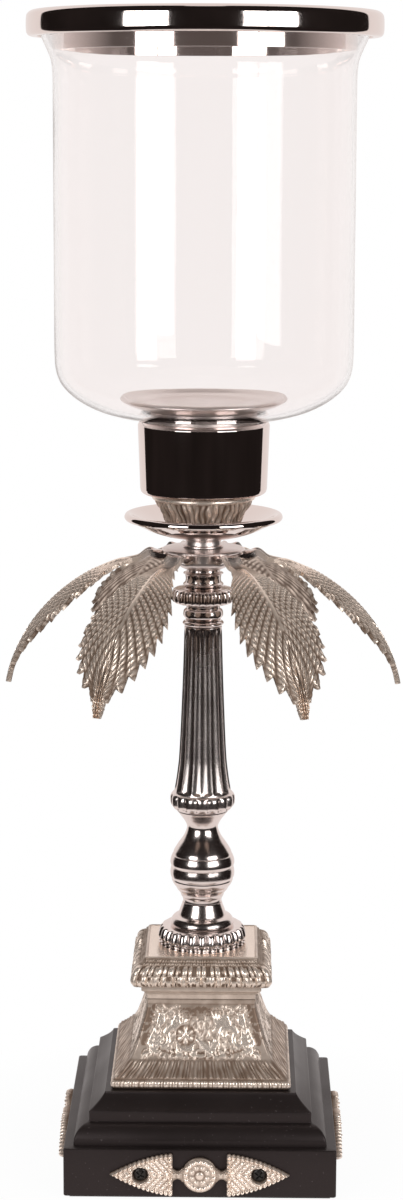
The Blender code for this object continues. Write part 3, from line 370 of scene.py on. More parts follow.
def noise(tree, scale, detail=3.0, stretch=(1, 1, 1)):
    """Noise on the piece's own coordinates, stretched along the axes."""
    where = node(tree, "TexCoord").outputs["Object"]
    placed = node(tree, "Mapping", Vector=where, Scale=stretch).outputs[0]
    return node(tree, "TexNoise", Vector=placed, Scale=scale, Detail=detail).outputs["Fac"]


def from_axis(tree):
    """The distance of a point from the middle of the column, in metres, and its y."""
    where = node(tree, "SeparateXYZ", Vector=node(tree, "TexCoord").outputs["Object"])
    across = maths(tree, "POWER", where.outputs[0], 2.0)
    deep = maths(tree, "POWER", where.outputs[1], 2.0)
    return maths(tree, "SQRT", plus(tree, across, deep)), where.outputs[1]


def group(name, inputs, outputs):
    """An empty node group with named sockets, each as (name, kind, default)."""
    tree = bpy.data.node_groups.new(name, "ShaderNodeTree")
    for label, kind, value in inputs:
        socket = tree.interface.new_socket(label, in_out="INPUT", socket_type="NodeSocket" + kind)
        socket.default_value = value
    for label, kind in outputs:
        tree.interface.new_socket(label, in_out="OUTPUT", socket_type="NodeSocket" + kind)
    return tree, tree.nodes.new("NodeGroupInput").outputs, tree.nodes.new("NodeGroupOutput")


def buffed_group():
    """Marks of buffing on metal or lacquer: cloudy patches in the roughness, fine rings left by the
    wheel, and a very slight waviness of the surface."""
    tree, given, out = group("buffed", [("Roughness", "Float", 0.1), ("Patches", "Float", 0.03),
                                        ("Ring Depth", "Float", 0.3)],
                             [("Roughness", "Float"), ("Height", "Float")])
    patch = times(tree, minus(tree, noise(tree, 45, 4), 0.42), given["Patches"])
    rough = plus(tree, given["Roughness"], times(tree, patch, 4))
    rings = times(tree, noise(tree, 260, 3, (0.08, 0.08, 4)), given["Ring Depth"])
    fine = times(tree, noise(tree, 900, 2), 0.08)
    feed(tree, out, Roughness=maths(tree, "MAXIMUM", rough, 0.015), Height=plus(tree, rings, fine))
    return tree


def patina_group():
    """Antique finish: dark in the hollows of the casting and worn bright where it stands proud."""
    tree, given, out = group("patina", [("Relief", "Float", 0.5), ("Bright", "Color", WHITE),
                                        ("Dark", "Color", (0, 0, 0, 1)), ("Grain", "Float", 600)],
                             [("Color", "Color"), ("Wear", "Float"), ("Height", "Float")])
    where = node(tree, "TexCoord").outputs["Object"]
    grain = node(tree, "TexNoise", Vector=where, Scale=given["Grain"], Detail=3)
    drift = times(tree, minus(tree, noise(tree, 160, 5), 0.5), 0.6)
    wear = remap(tree, plus(tree, given["Relief"], drift), 0.12, 0.88)
    feed(tree, out, Color=mix(tree, wear, given["Dark"], given["Bright"]), Wear=wear,
         Height=grain.outputs["Fac"])
    return tree


def material(name):
    """A new material with the given name: its node tree and its shader too."""
    made = bpy.data.materials.new(name)
    made.use_nodes = True
    return made, made.node_tree, made.node_tree.nodes["Principled BSDF"]


def bump(tree, height, distance):
    """Distance is in millimetres."""
    return node(tree, "Bump", Height=height, Distance=distance * MM, Strength=1).outputs[0]


def buffed_metal(name, cloud, colours, marks, depth, metallic=1.0, brush=0.0):
    """Buffed metal: two colours that drift in a cloud of (scale, detail), marks of buffing as
    (roughness, patches, ring depth), and with brush fine upright strokes."""
    made, tree, shader = material(name)
    buff = node(tree, "Group", {"node_tree": BUFFED}, i0=marks[0], i1=marks[1], i2=marks[2])
    height = buff.outputs["Height"]
    if brush:
        height = plus(tree, height, times(tree, noise(tree, 420, 3, (1, 1, 0.12)), brush))
    feed(tree, shader, Base_Color=mix(tree, noise(tree, *cloud), *colours), Metallic=metallic,
         Roughness=buff.outputs["Roughness"], Normal=bump(tree, height, depth))
    return made


def polished_nickel(name, *marks, brush=0.0):
    return buffed_metal(name, (30, 3), ((0.81, 0.715, 0.68, 1), (0.87, 0.79, 0.76, 1)),
                        marks, 0.012, brush=brush)


def antique_nickel(name, bright, dark, rough, metal, polished=None):
    """Cast metal with a patina that follows the height of its relief. rough and metal are for the
    hollows and the worn tops. polished gives the two distances from the column's middle, in metres,
    between which a buffed root turns into the patina."""
    made, tree, shader = material(name)
    relief = node(tree, "Attribute", {"attribute_name": "relief"}).outputs["Fac"]
    patina = node(tree, "Group", {"node_tree": PATINA}, Relief=relief, Bright=bright, Dark=dark).outputs
    colour = patina["Color"]
    roughness = remap(tree, patina["Wear"], 0, 1, *rough)
    metallic = remap(tree, patina["Wear"], 0, 1, *metal)
    if polished:
        uneven = plus(tree, from_axis(tree)[0], times(tree, noise(tree, 60, 3), 0.012))
        cast = remap(tree, uneven, *polished)
        colour = mix(tree, cast, (0.74, 0.66, 0.62, 1), colour)
        roughness = plus(tree, times(tree, minus(tree, roughness, 0.13), cast), 0.13)
        metallic = maths(tree, "MAXIMUM", metallic, minus(tree, 1, cast))
    feed(tree, shader, Base_Color=colour, Roughness=roughness, Metallic=metallic,
         Normal=bump(tree, patina["Height"], 0.05))
    return made


def black_lacquer():
    """Satin lacquer over open-grained wood: a faint grain, and a few specks of dust in the coat."""
    made, tree, shader = material("black lacquer")
    grain, cloud = noise(tree, 140, 4, (1, 12, 12)), noise(tree, 25, 3)
    specks = remap(tree, noise(tree, 700, 1), 0.72, 0.78)
    colour = mix(tree, cloud, (0.010, 0.0075, 0.007, 1), (0.017, 0.0125, 0.0118, 1))
    feed(tree, shader, Base_Color=mix(tree, specks, colour, (0.06, 0.05, 0.05, 1)),
         Roughness=remap(tree, cloud, 0.3, 0.7, 0.30, 0.40),
         Normal=bump(tree, plus(tree, grain, times(tree, specks, 0.5)), 0.02),
         Specular_IOR_Level=0.36, Specular_Tint=(1, 0.84, 0.85, 1))
    return made


def clear_glass():
    """Clear glass with a faint warm tint that drifts, and the slight waviness of blowing."""
    made, tree, shader = material("clear glass")
    feed(tree, shader, Transmission_Weight=1, Roughness=0, IOR=1.28,
         Base_Color=mix(tree, noise(tree, 9, 2), (0.968, 0.937, 0.930, 1), (0.975, 0.945, 0.938, 1)),
         Normal=bump(tree, noise(tree, 14, 1), 0.25))
    return made


def black_felt():
    made, tree, shader = material("black felt")
    fibre = noise(tree, 1200, 5)
    feed(tree, shader, Base_Color=mix(tree, fibre, (0.012, 0.012, 0.012, 1), (0.05, 0.048, 0.046, 1)),
         Normal=bump(tree, fibre, 0.3), Roughness=0.95, Sheen_Weight=0.3)
    return made


def clear_rubber():
    made, tree, shader = material("clear rubber")
    cloud = noise(tree, 90, 3)
    feed(tree, shader, Base_Color=mix(tree, cloud, (0.62, 0.61, 0.58, 1), (0.72, 0.71, 0.69, 1)),
         Roughness=remap(tree, cloud, 0.3, 0.7, 0.35, 0.55))
    return made


def fit(piece, node_name, finish, body="stand"):
    """Give a piece its finish, let it move with its body, and let it stand for its node."""
    piece.data.materials.append(finish)
    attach(piece, body)
    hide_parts(node_name)


def lathe(name, node_name, finish, *runs, corner=0.3, raised=0.0, body="stand", **turning):
    """A turned piece in place of a node: the outline of its runs, with heights from the node's foot."""
    piece = turned(name, outline(*runs, corner=corner), foot=low(node_name) + raised, **turning)
    fit(piece, node_name, finish, body)


def wooden_base():
    """The mitred base: its face, a ledge, an ovolo, a fillet and an ogee, as one outline."""
    half, top, face = reach("wood_base"), tall("wood_base"), 25.7
    ledge = half - 4.9
    fillet = ledge - 7.7
    line = outline([(AXIS, 0), (half, 0), (half, face), (ledge, face)],
                   bend((ledge, face), (ledge - 0.4, face + 3.6), (ledge - 2.2, face + 7.0),
                        (ledge - 4.8, face + 9.2), (fillet, face + 10.2)),
                   [(fillet, face + 15.4)],
                   bend((fillet - 0.6, face + 15.8), (fillet - 2.2, face + 17.0), (fillet - 5.4, face + 19.8),
                        (fillet - 7.4, face + 22.2), (fillet - 8.0, top)),
                   [(AXIS, top)], corner=0.9, closed=False)
    mitred("lacquered_base", "wood_base", LACQUER, line, corner=1.1, sharp=30.0)


def on_face(turn, along, out, up):
    """Points on the face of the base that is turned from the front by an angle."""
    c, s = math.cos(turn), math.sin(turn)
    return np.stack([along * c + out * s, along * s - out * c, up], -1)


def wing_half_height(x):
    """Half the height of a mount at the distance x from its middle: a round boss, a bridge and a
    wing that tapers to a point, with its edge scalloped between the beads."""
    boss = 1.02 * 9 * swell(x / 9)
    bridge = 2 + 1.6 * np.clip((x - 11.4) / 2.6, -1, 1) ** 2
    share = unit((x - WING_START) / (reach("base_mount_front") - WING_START))
    scallop = 0.7 * zigzag(share * WING_BEADS) ** 2 * (1 - share ** 3)
    wing = 11.4 * (1 - share ** 1.7) - scallop
    return np.where(x < WING_START, np.maximum(boss, bridge), np.maximum(wing, 0.02))


def base_mount(where, turn):
    """A cast mount: a grid of x along the base and v across the outline, with z = v times the
    outline's half height. Its height is a plate with feather barbs, a beaded edge and a beaded boss."""
    end = reach("base_mount_front")
    x = np.concatenate([np.linspace(0, WING_START - 0.05, 60), np.linspace(WING_START, end, 190)])
    x = np.concatenate([-x[:0:-1], x])[:, None]
    away = np.abs(x)
    z = np.linspace(-1, 1, 91)[None, :] * wing_half_height(away)
    off = np.abs(z)
    edge = wing_half_height(away) - off
    radius, angle = np.hypot(x, z), np.arctan2(z, x) / TAU
    wing = ease(away, 13.6, 14.4)
    pitch = (end - WING_START) / WING_BEADS
    barbs = ridge((away - 0.95 * off) / 3.5) * ease(edge, 1.8, 2.6)
    barbs = barbs * (0.5 + 0.5 * ridge(off / 2.3 + 0.3 * away + 0.3 * np.sin(x)))
    rib = fade(off, 0.3, 0.9) * ease(end - away, 6, 14)
    beads = ridge((away - WING_START) / pitch) * bead((edge - 1.1) / 2.4)
    rail = ridge(z / 2.1 + 0.5) * bead((away - 15.2) / 2.2)
    ring = bead((radius - 7.2) / 2.8) * (0.35 + 0.65 * ridge(angle * 17))
    petals = ridge(angle * 8, 1.5) * tent((radius - 4.2) / 1.8)
    knots = ridge(away / 2.4) * fade(off, 0.7, 1.5) * ease(radius, 9, 9.6)
    boss = 1.2 * ring + 0.9 * swell(radius / 2.2) + 0.8 * petals + 0.9 * knots
    carved = wing * (0.95 * barbs + 0.4 * rib + 1.25 * np.maximum(beads, rail))
    carved = carved + (1 - wing) * (boss * fade(radius, 9.3, 9.9) + 0.5 * knots)
    from_screw = np.hypot(away - SCREW_SPREAD, z)
    hole = ease(from_screw, 3.85, 4.3)
    height = 2.6 + carved + 0.5 * (1 - wing) - 0.8 * fade(edge, 0, 0.8)
    height = 0.5 + (height - 0.5 + 0.35 * tent((from_screw - 4.9) / 0.8)) * hole
    stands = unit(0.36 + 0.70 * carved - 0.25 * tent((radius - 2.7) / 0.6)) * hole
    back = np.zeros_like(height[:, :2])
    depth = np.hstack([height, back])
    across = np.hstack([z, 0.97 * z[:, -1:], 0.97 * z[:, :1]])
    centre = (low("base_mount_front") + high("base_mount_front")) / 2
    points = on_face(turn, x + 0 * depth, reach("wood_base") + 0.3 + depth, centre + across)
    piece = surface("mount_" + where, points, ends=True, relief=np.hstack([stands, back]), sharp=50.0)
    fit(piece, "base_mount_" + where, SILVERED)


def mount_screw(where, number, turn):
    """A blackened screw: a shallow domed head with a cross in it, on a polar grid of radius and angle."""
    name = "mount_screw_%s_%d" % (where, number)
    a = np.linspace(0, TAU, 64, endpoint=False)[None, :]
    r = np.concatenate([[0.02], np.linspace(0.2, 3.7, 22)])[:, None] + 0 * a
    cross = np.minimum(np.abs(r * np.sin(a + 0.6)), np.abs(r * np.cos(a + 0.6)))
    rise = 0.55 + 1.75 * swell(r / 3.9) - 1.1 * fade(cross, 0.25, 0.5) * fade(r, 1.9, 2.4)
    shank = np.array([(3.7, 0.3), (1.5, 0.3), (1.5, -13.7), (0.05, -13.9)])
    r, rise = np.vstack([r, shank[:, :1] + 0 * a]), np.vstack([rise, shank[:, 1:] + 0 * a])
    along = r * np.cos(a) + (-SCREW_SPREAD if number == 1 else SCREW_SPREAD)
    up = r * np.sin(a) + (low(name) + high(name)) / 2
    points = on_face(turn, along, reach("wood_base") + rise, up)
    fit(surface("screw_%s_%d" % (where, number), points, ends=True), name, SCREW)


def stroke(x, z, width):
    """A stroke of the ornament, as rows of (x, z, half width)."""
    return np.stack([x, z, width], -1)


def scroll(x, z, size, turn, hand=1):
    """A spiral that winds inwards: its radius shrinks as exp(-0.3 angle)."""
    angle = np.linspace(0, 2.4 * math.pi, 34)
    radius = size * np.exp(-0.3 * angle)
    return stroke(x + hand * radius * np.cos(angle + turn), z + radius * np.sin(angle + turn),
                  0.34 * radius + 0.35)


def spray(x, z, length, turn, leaves):
    """A stem with pairs of leaflets, as a list of tapering strokes."""
    c, s = math.cos(turn), math.sin(turn)
    share = np.linspace(0, 1, 12)
    strokes = [stroke(x + c * length * share, z + s * length * share, 0.9 - 0.6 * share)]
    for number in range(leaves):
        root = length * (0.15 + 0.7 * number / leaves)
        size = length * 0.42 * (1 - 0.5 * number / leaves)
        for side in (-1, 1):
            swing = turn + side * (1 - 0.5 * share)
            strokes.append(stroke(x + c * root + size * share * np.cos(swing),
                                  z + s * root + size * share * np.sin(swing),
                                  1.15 * np.sin(math.pi * (0.15 + 0.8 * share))))
    return strokes


def stroke_height(strokes, x, z, hands=(-1, 1)):
    """The height of rounded strokes over a grid: sqrt(1 - (distance / width)^2) of the nearest point.
    hands mirrors them about the middle line."""
    height = np.zeros_like(x)
    for line in strokes:
        for hand in hands:
            gap = np.hypot(x[..., None] - hand * line[:, 0], z[..., None] - line[:, 1]) / line[:, 2]
            height = np.maximum(height, swell(gap.min(-1)))
    return height


def sprigs():
    """Small curved leaflets strewn over half a face of the pedestal, on a jittered grid of rows and
    columns. Each bends as an arc of a circle, and its direction turns slowly over the face."""
    random = np.random.default_rng(SPRIG_SEED)
    strokes = []
    share = np.linspace(-0.5, 0.5, 6)
    for row in range(SPRIG_ROWS):
        for column in range(SPRIG_COLUMNS):
            x = (column + 0.5 + random.uniform(-0.35, 0.35)) * 33 / SPRIG_COLUMNS
            z = (row + 0.5 + random.uniform(-0.35, 0.35)) * 26 / SPRIG_ROWS
            turn = 1.1 + 1.5 * math.sin(x / 5.2 + 0.6) + 1.2 * math.cos(z / 4.1) + random.uniform(-0.5, 0.5)
            swing = turn + random.uniform(0.5, 1.8) * share
            size = random.uniform(2.4, 4.2)
            wide = random.uniform(0.7, 1.05)
            strokes.append(stroke(x + size * share * np.cos(swing), z + size * share * np.sin(swing),
                                  wide * np.cos(1.9 * share)))
    return strokes


def pedestal_strokes():
    """Half of a face's ornament, in millimetres from the face's middle line and the foot of the
    scrolls: scrolls and leaf sprays."""
    return ([scroll(13, 12, 5.4, 0.4), scroll(9.5, 19, 3.8, 2.6, -1), scroll(21, 8.5, 4.6, 2)]
            + spray(4, 3, 9, 0.9, 3) + spray(15, 14, 9, 1.9, 3)
            + spray(27, 2, 15, 1.85, 4) + spray(22.5, 15, 9, 1.75, 3))


def face_strokes():
    """The single strokes of a face: a broad leaf that falls to the right of the rosette, a crescent
    under the rosette, and a fan of leaflets near the neck."""
    share = np.linspace(0, 1, 12)
    arch = np.sin(math.pi * share)
    fan = [stroke(8 + 7.5 * share * np.cos(angle), 29 + 7.5 * share * np.sin(angle), 0.35 + 0.6 * arch)
           for angle in np.linspace(0.35, 1.9, 6)]
    return [stroke(-3 + 10 * share, 22.6 - 8.4 * share ** 1.2, 0.4 + 1.9 * arch),
            stroke(-13 + 9 * share, 19.6 - 2.4 * arch, 0.9 + 0 * share)] + fan


def pedestal_carving(share, z, half):
    """Relief of the pedestal by share of the width and height: a beaded rim, upright ribs on the
    spreading foot, and scrolls and leaves on the sweep. The faces at the sides, the even quarters of
    the ring, carry slanting leaf strokes instead of ribs."""
    x = share * half
    quarter = np.arange(share.shape[1]) * 4 // share.shape[1]
    at_side = quarter % 2 == 0
    depth = x * np.where(quarter == 0, 1, -1)
    upright = ridge(share * 21 + 0.22 * np.sin(share * 37) + 0.16 * np.sin(share * 13 + 1), 1.5)
    upright = upright * (0.78 + 0.22 * np.sin(share * 71 + 0.9 * z))
    slanting = ridge((depth + 2.2 * half + 1.2 * np.sin(0.35 * depth)) / 5, 1.3)
    slanting = slanting * (0.8 + 0.2 * np.sin(1.9 * half + depth))
    ribs = np.where(at_side, slanting, upright) * between(z, 4.7, 5.5, 11.4, 13.0)
    rim = ridge(share * 24 + 0.35 * np.sin(share * 40)) * between(z, 0.5, 1.4, 3.4, 4.6)
    field = between(z, 11.2, 14.2, 39.2, 40.8)
    border = ease(np.abs(share), 0.86, 0.90)
    quiet = np.exp(-(((x + 3) / 12) ** 2 + ((z - 37) / 4.5) ** 2))
    aside, over = x - ROSETTE[0], z - ROSETTE[1]
    from_rosette = np.hypot(aside, over)
    around = ease(from_rosette, 4.6, 6.2)
    rosette = ridge(np.arctan2(over, aside) / TAU * 6, 1.3) * unit(1.6 - from_rosette / 3.4)
    leaves = stroke_height(pedestal_strokes(), x, z - SCROLLS_FOOT) * around
    strewn = stroke_height(sprigs(), x, z - SCROLLS_FOOT) * around * (1 - 0.85 * quiet)
    garland = ridge((x + 0.6 * z) / 2.3, 1.6) * tent((z - 14.6 - 0.008 * x ** 2) / 1.6)
    single = stroke_height(face_strokes(), x, z, (1,))
    ornament = np.maximum.reduce([leaves, 0.85 * strewn, 0.8 * garland, np.minimum(1.3 * rosette, 1),
                                  1.2 * swell(from_rosette / 1.7), 1.15 * single])
    ornament = ornament * field * (1 - 0.9 * border)
    moat = between(ornament, 0, 0.06, 0.1, 0.42) * field
    # The ribs are darker towards their foot on the front and back faces, and keep their full tone on the side
    # faces.
    bright = np.maximum(0.45 + 0.55 * ease(z, 7, 11.5), at_side)
    relief = 0.39 - 0.25 * (1 - field) + 0.68 * ribs ** 2 * bright + 0.8 * rim
    relief = relief + 0.6 * ornament ** 2 - 0.45 * moat - 0.12 * quiet * field
    plain = 0.37 * ease(z, 39.6, 40.8)
    return 0.85 * ribs + 0.6 * rim + 0.85 * ornament, unit(np.maximum(relief, plain))


def pedestal():
    """The cast pedestal: a beaded rim, a low ribbed spread and a hollow sweep up to the neck."""
    half, top = reach("pedestal_body"), tall("pedestal_body")
    line = outline([(AXIS, 0), (half - 0.6, 0)],
                   bend((half - 0.6, 0), (half, 1.2), (half - 0.1, 3.0), (half - 0.9, 4.6)),
                   bend((half - 0.9, 4.6), (43.4, 6.4), (40.5, 8.8), (38.1, 11.4), (36.2, 14.4), (34.5, 18.0),
                        (32.6, 23.0), (30.8, 29.0), (29.0, 35.0), (28.2, 39.4), (28.3, 42.2), steps=8),
                   [(28.3, top), (AXIS, top)], closed=False)
    mitred("cast_pedestal", "pedestal_body", SILVERED, line, 1.0, side_steps=191, carve=pedestal_carving)


def cap_carving(share, z, half):
    """Relief of the cap: a row of upright drops round the cushion's middle, pointed leaves below them,
    and a fine row of dots under the crest. The flat top stays plain."""
    wobble = 0.16 * np.sin(share * 31) + 0.1 * np.sin(share * 83)
    cushion = between(z, 8.1, 8.8, 21.9, 22.9) * (half > 28.9)
    drops = swell(np.hypot(zigzag(share * 9.5 + wobble) / 0.86, (z - 16.7) / 3.1))
    phase = share * 7 + 0.5 + 0.8 * wobble
    aside = zigzag(phase)
    fall = unit((14.9 - z) / 6.2)
    leaves = swell(aside / np.maximum(0.94 - 0.72 * fall ** 2, 0.05)) * ease(fall, 0, 0.12)
    vein = 0.45 * fade(aside, 0, 0.22) * leaves
    behind = 0.7 * swell(zigzag(phase + 0.5) / 0.4) * ease(fall, 0.3, 0.55)
    dots = ridge(share * 21 + wobble) * ridge(z / 1.5) * (z > 19.6)
    carved = np.maximum.reduce([drops, leaves - vein, behind, 0.42 * dots])
    relief = unit(0.10 + 0.98 * carved ** 1.2) * np.where(z > 19.6, 0.75, 1) + 0.10 * (z > 19.4)
    plain = np.where(half > 27.95, 0.56, 1)
    return 1.8 * (carved - 0.5) * cushion, np.where(cushion > 0.25, relief, plain)


def cushion_cap():
    """The cushion cap: fillets, a carved edge that is widest near its foot, and a flat polished top."""
    top = tall("pedestal_cap")
    line = outline([(AXIS, 0), (28.4, 0), (28.4, 2.6), (29.6, 3.0)],
                   bend((29.6, 3.0), (30.2, 4.2), (31.4, 5.0)), [(31.4, 7.6)],
                   bend((31.2, 7.8), (34.8, 8.4), (36.1, 10.6), (36.0, 13.0), (35.0, 15.6), (33.4, 18.4),
                        (31.4, 20.9), (29.4, 22.7), (28.3, top - 0.1), steps=9),
                   [(27.9, top - 0.6), (AXIS, top - 0.6)], corner=0.25, closed=False)
    mitred("cushion_cap", "pedestal_cap", SILVERED, line, 1.6, side_steps=161, corner_steps=4,
           carve=cap_carving)


def lobed_foot():
    """The round foot of the column: two rows of beads, upright lobes, a flat shoulder, a bulge and a
    waist that widens downwards."""
    def press(r, z, a):
        groove = zigzag(a / TAU * DOME_LOBES) ** 2 * (r > 18)
        return r - 1.8 * groove * between(z, 3.1, 3.9, 9.0, 10.1) - 0.8 * groove * (z < 3.1)

    top = tall("gadrooned_dome")
    lathe("lobed_foot", "gadrooned_dome", COLUMN, [(BORE, 0), (22.4, 0)],
          bend((22.4, 0), (23.1, 0.8), (22.5, 1.6)), bend((22.5, 1.6), (23.2, 2.4), (22.6, 3.1)),
          bend((22.6, 3.1), (23.35, 4.3), (23.2, 5.8), (22.7, 7.6), (21.9, 9.2), (20.6, 10.0)),
          bend((20.6, 10.0), (19.2, 10.2), (17.8, 10.15), (16.0, 10.0)),
          bend((16.0, 10.0), (16.7, 11.6), (16.4, 13.1), (15.2, 14.8), (13.2, 15.7)),
          bend((13.2, 15.7), (12.5, 15.9), (12.5, 16.6)),
          bend((12.5, 16.6), (12.0, 18.2), (11.1, 20.6), (10.4, top)), [(BORE, top)],
          corner=0.2, press=press, sides=DOME_LOBES * 12)


def pear_knop():
    """The knop: three soft steps, two bands with a groove between them, a pear above, and a flare."""
    top = tall("pear_knop")
    lathe("turned_knop", "pear_knop", COLUMN, [(BORE, 0), (10.2, 0)],
          bend((10.2, 0), (10.3, 1.4), (10.6, 2.6)), bend((10.9, 2.8), (11.4, 3.9), (11.7, 5.1)),
          bend((12.3, 5.7), (13.4, 7.1), (14.1, 8.5)), bend((14.9, 9.4), (15.7, 10.8), (16.2, 12.2)),
          bend((16.2, 12.9), (16.8, 14.4), (16.95, 16.6), (16.6, 18.9)), [(16.2, 19.3)],
          bend((16.5, 19.8), (16.95, 21.4), (16.7, 23.6), (15.9, 25.7)), [(15.4, 26.0)],
          bend((15.5, 26.4), (14.8, 28.3), (12.7, 31.7), (10.3, 35.1), (8.8, 38.1), (8.2, 40.4), (8.4, 42.0),
               (9.6, 44.4), (11.4, 46.9), (12.9, 48.8), (13.6, top)),
          [(BORE, top)], corner=0.25)


def trunk():
    """The fluted trunk: sixteen hollow flutes that run out above a lobed edge at its foot."""
    def press(r, z, a):
        phase = a / TAU * SHAFT_FLUTES
        flutes = between(z, 9.8, 12.0, top - 3.0, top - 1.6) * (r > 8)
        edge = between(z, 0.6, 2.4, 7.6, 9.4) * (r > 14)
        return r - 0.9 * ridge(phase, 2.2) * flutes - 1.1 * zigzag(phase + 0.5) ** 2.2 * edge

    top = tall("fluted_shaft")
    lathe("fluted_trunk", "fluted_shaft", TRUNK, [(BORE, 0), (13.6, 0)],
          bend((13.6, 0), (15.4, 1.2), (16.7, 3.0), (17.05, 5.0), (17.0, 7.2), (16.3, 8.8), (15.0, 9.6)),
          bend((15.0, 9.6), (14.4, 13.0), (13.7, 17.4), (12.85, 24.0), (12.4, 29.0), (11.9, 38.0),
               (11.45, 48.0), (10.5, 72.0), (9.8, 96.0), (9.7, top - 1.2)),
          [(9.7, top), (BORE, top)], press=press, sides=SHAFT_FLUTES * 16)


def small_rings():
    """The bead ring, the torus and fillet, and the drum with its two beads."""
    top = tall("bead_ring")
    lathe("bright_bead", "bead_ring", COLUMN, [(BORE, 0), (9.7, 0)],
          bend((9.7, 0), (10.6, 0.9), (10.6, 1.7), (9.7, top)), [(BORE, top)], corner=0.15)
    top = tall("lower_collar")
    lathe("torus_collar", "lower_collar", COLUMN, [(BORE, 0), (8.9, 0), (8.9, 0.5)],
          bend((9.2, 0.7), (10.2, 2.0), (10.4, 3.4), (10.0, 5.2), (8.9, 6.0)),
          [(8.7, 6.3), (8.7, top - 1.2), (9.5, top - 0.9), (9.5, top), (BORE, top)], corner=0.2)
    top = tall("collar_drum")
    lathe("beaded_drum", "collar_drum", COLUMN, [(BORE, 0), (9.8, 0)],
          bend((9.8, 0), (10.5, 0.8), (9.8, 1.6)), bend((9.4, 1.8), (9.1, 3.6), (9.4, 5.6)),
          bend((9.5, 5.8), (10.4, 6.5), (9.5, 7.2)), [(8.4, 7.4), (8.2, top), (BORE, top)], corner=0.15)


def gadroon_ring():
    """The wide ring with upright lobes round its edge and a plain sloping top."""
    def press(r, z, a):
        return r - zigzag(a / TAU * RING_LOBES) ** 2.4 * between(z, -0.1, 0.8, 7.0, 7.9) * (r > 13)

    top = tall("gadroon_ring")
    lathe("gadrooned_ring", "gadroon_ring", COLUMN, [(BORE, 0), (13.6, 0)],
          bend((13.6, 0), (15.6, 0.8), (16.4, 2.6), (16.4, 5.0), (15.7, 7.0), (14.4, 7.8)),
          bend((14.4, 7.8), (12.4, 8.1), (11.0, 8.6), (9.6, top)), [(BORE, top)],
          press=press, sides=RING_LOBES * 12)


def hub():
    """The boss that carries the stems, with the thin disc that covers their roots."""
    top, rim = tall("leaf_hub"), reach("leaf_hub")
    lathe("leaf_boss", "leaf_hub", SATIN, [(BORE, 0), (9.8, 0)],
          bend((9.8, 0), (11.6, 0.9), (13.2, 2.6), (13.8, 4.4)), [(13.8, DISC_FOOT)],
          bend((rim - 0.8, DISC_FOOT), (rim, 10.0), (rim - 0.8, 10.8)),
          bend((rim - 0.8, 10.8), (17.0, 11.0), (12.4, 11.1), (10.4, top)), [(BORE, top)], corner=0.2)
    top = tall("neck_spacer")
    lathe("short_neck", "neck_spacer", SATIN,
          [(BORE, 0), (10.4, 0), (10.4, 0.8), (9.3, 1.2), (9.2, top - 0.9)],
          bend((9.2, top - 0.9), (9.5, top - 0.4), (10.0, top)), [(BORE, top)], corner=0.2)


def leaf_outline(share):
    """Half the blade's width at a share of its length, to the points of the teeth."""
    points = bend((0, LEAF_STEM_HALF), (0.05, 7.0), (0.13, 12.8), (0.26, 19.6), (0.42, 22.9), (0.56, 22.2),
                  (0.70, 18.1), (0.82, 11.5), (0.885, 6.2), (0.915, 3.6), (0.955, 2.9), (1, 1.7), steps=8)
    return np.interp(share, points[:, 0], points[:, 1])


def leaf_spine():
    """The leaf's spine as (reach, height) points and the length to each. Over a share s from 0 to 1 the
    reach grows as sin(0.9 s 90 degrees), the height falls as 1 - cos(s 90 degrees), and just beyond the
    disc a hump of sin^2 lies over it. Its heights are from the ground."""
    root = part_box("palm_leaf_1")[0].x / MM
    full = 0.9 * math.pi / 2
    s = np.linspace(0, 1, 200)
    out = root + (reach("palm_leaf_1") - LEAF_CLEARANCE - root) * np.sin(s * full) / math.sin(full)
    past_disc = unit((out - reach("leaf_hub") - 0.3) / 13)
    fall = LEAF_DROP * (1 - np.cos(s * math.pi / 2))
    up = low("leaf_hub") + DISC_FOOT - 0.5 + 2.8 * np.sin(math.pi * past_disc) ** 2 - fall
    path = np.stack([out, up], -1)
    return path, np.concatenate([[0.0], np.cumsum(np.hypot(*np.diff(path, axis=0).T))])


def rope_at(u, r):
    """Which rope of the leaf passes a point, and how far it has run since it left the midrib. A rope
    that leaves at the share m lies at u = m + (0.10 + 0.75 m^1.3) r^1.1, with u the share along the
    blade and r the share of its half width, and its number is 41 / 2.7 (1 - (1 - m)^2.7) + 1.6m.
    m is found by halving."""
    below, above = np.full_like(u, -0.2), np.ones_like(u)
    for _ in range(22):
        m = (below + above) / 2
        over = m + (0.10 + 0.75 * np.maximum(m, 0) ** 1.3) * r ** 1.1 > u
        above = np.where(over, m, above)
        below = np.where(over, below, m)
    return 41 / 2.7 * (1 - (1 - m) ** 2.7) + 1.6 * m, u - m


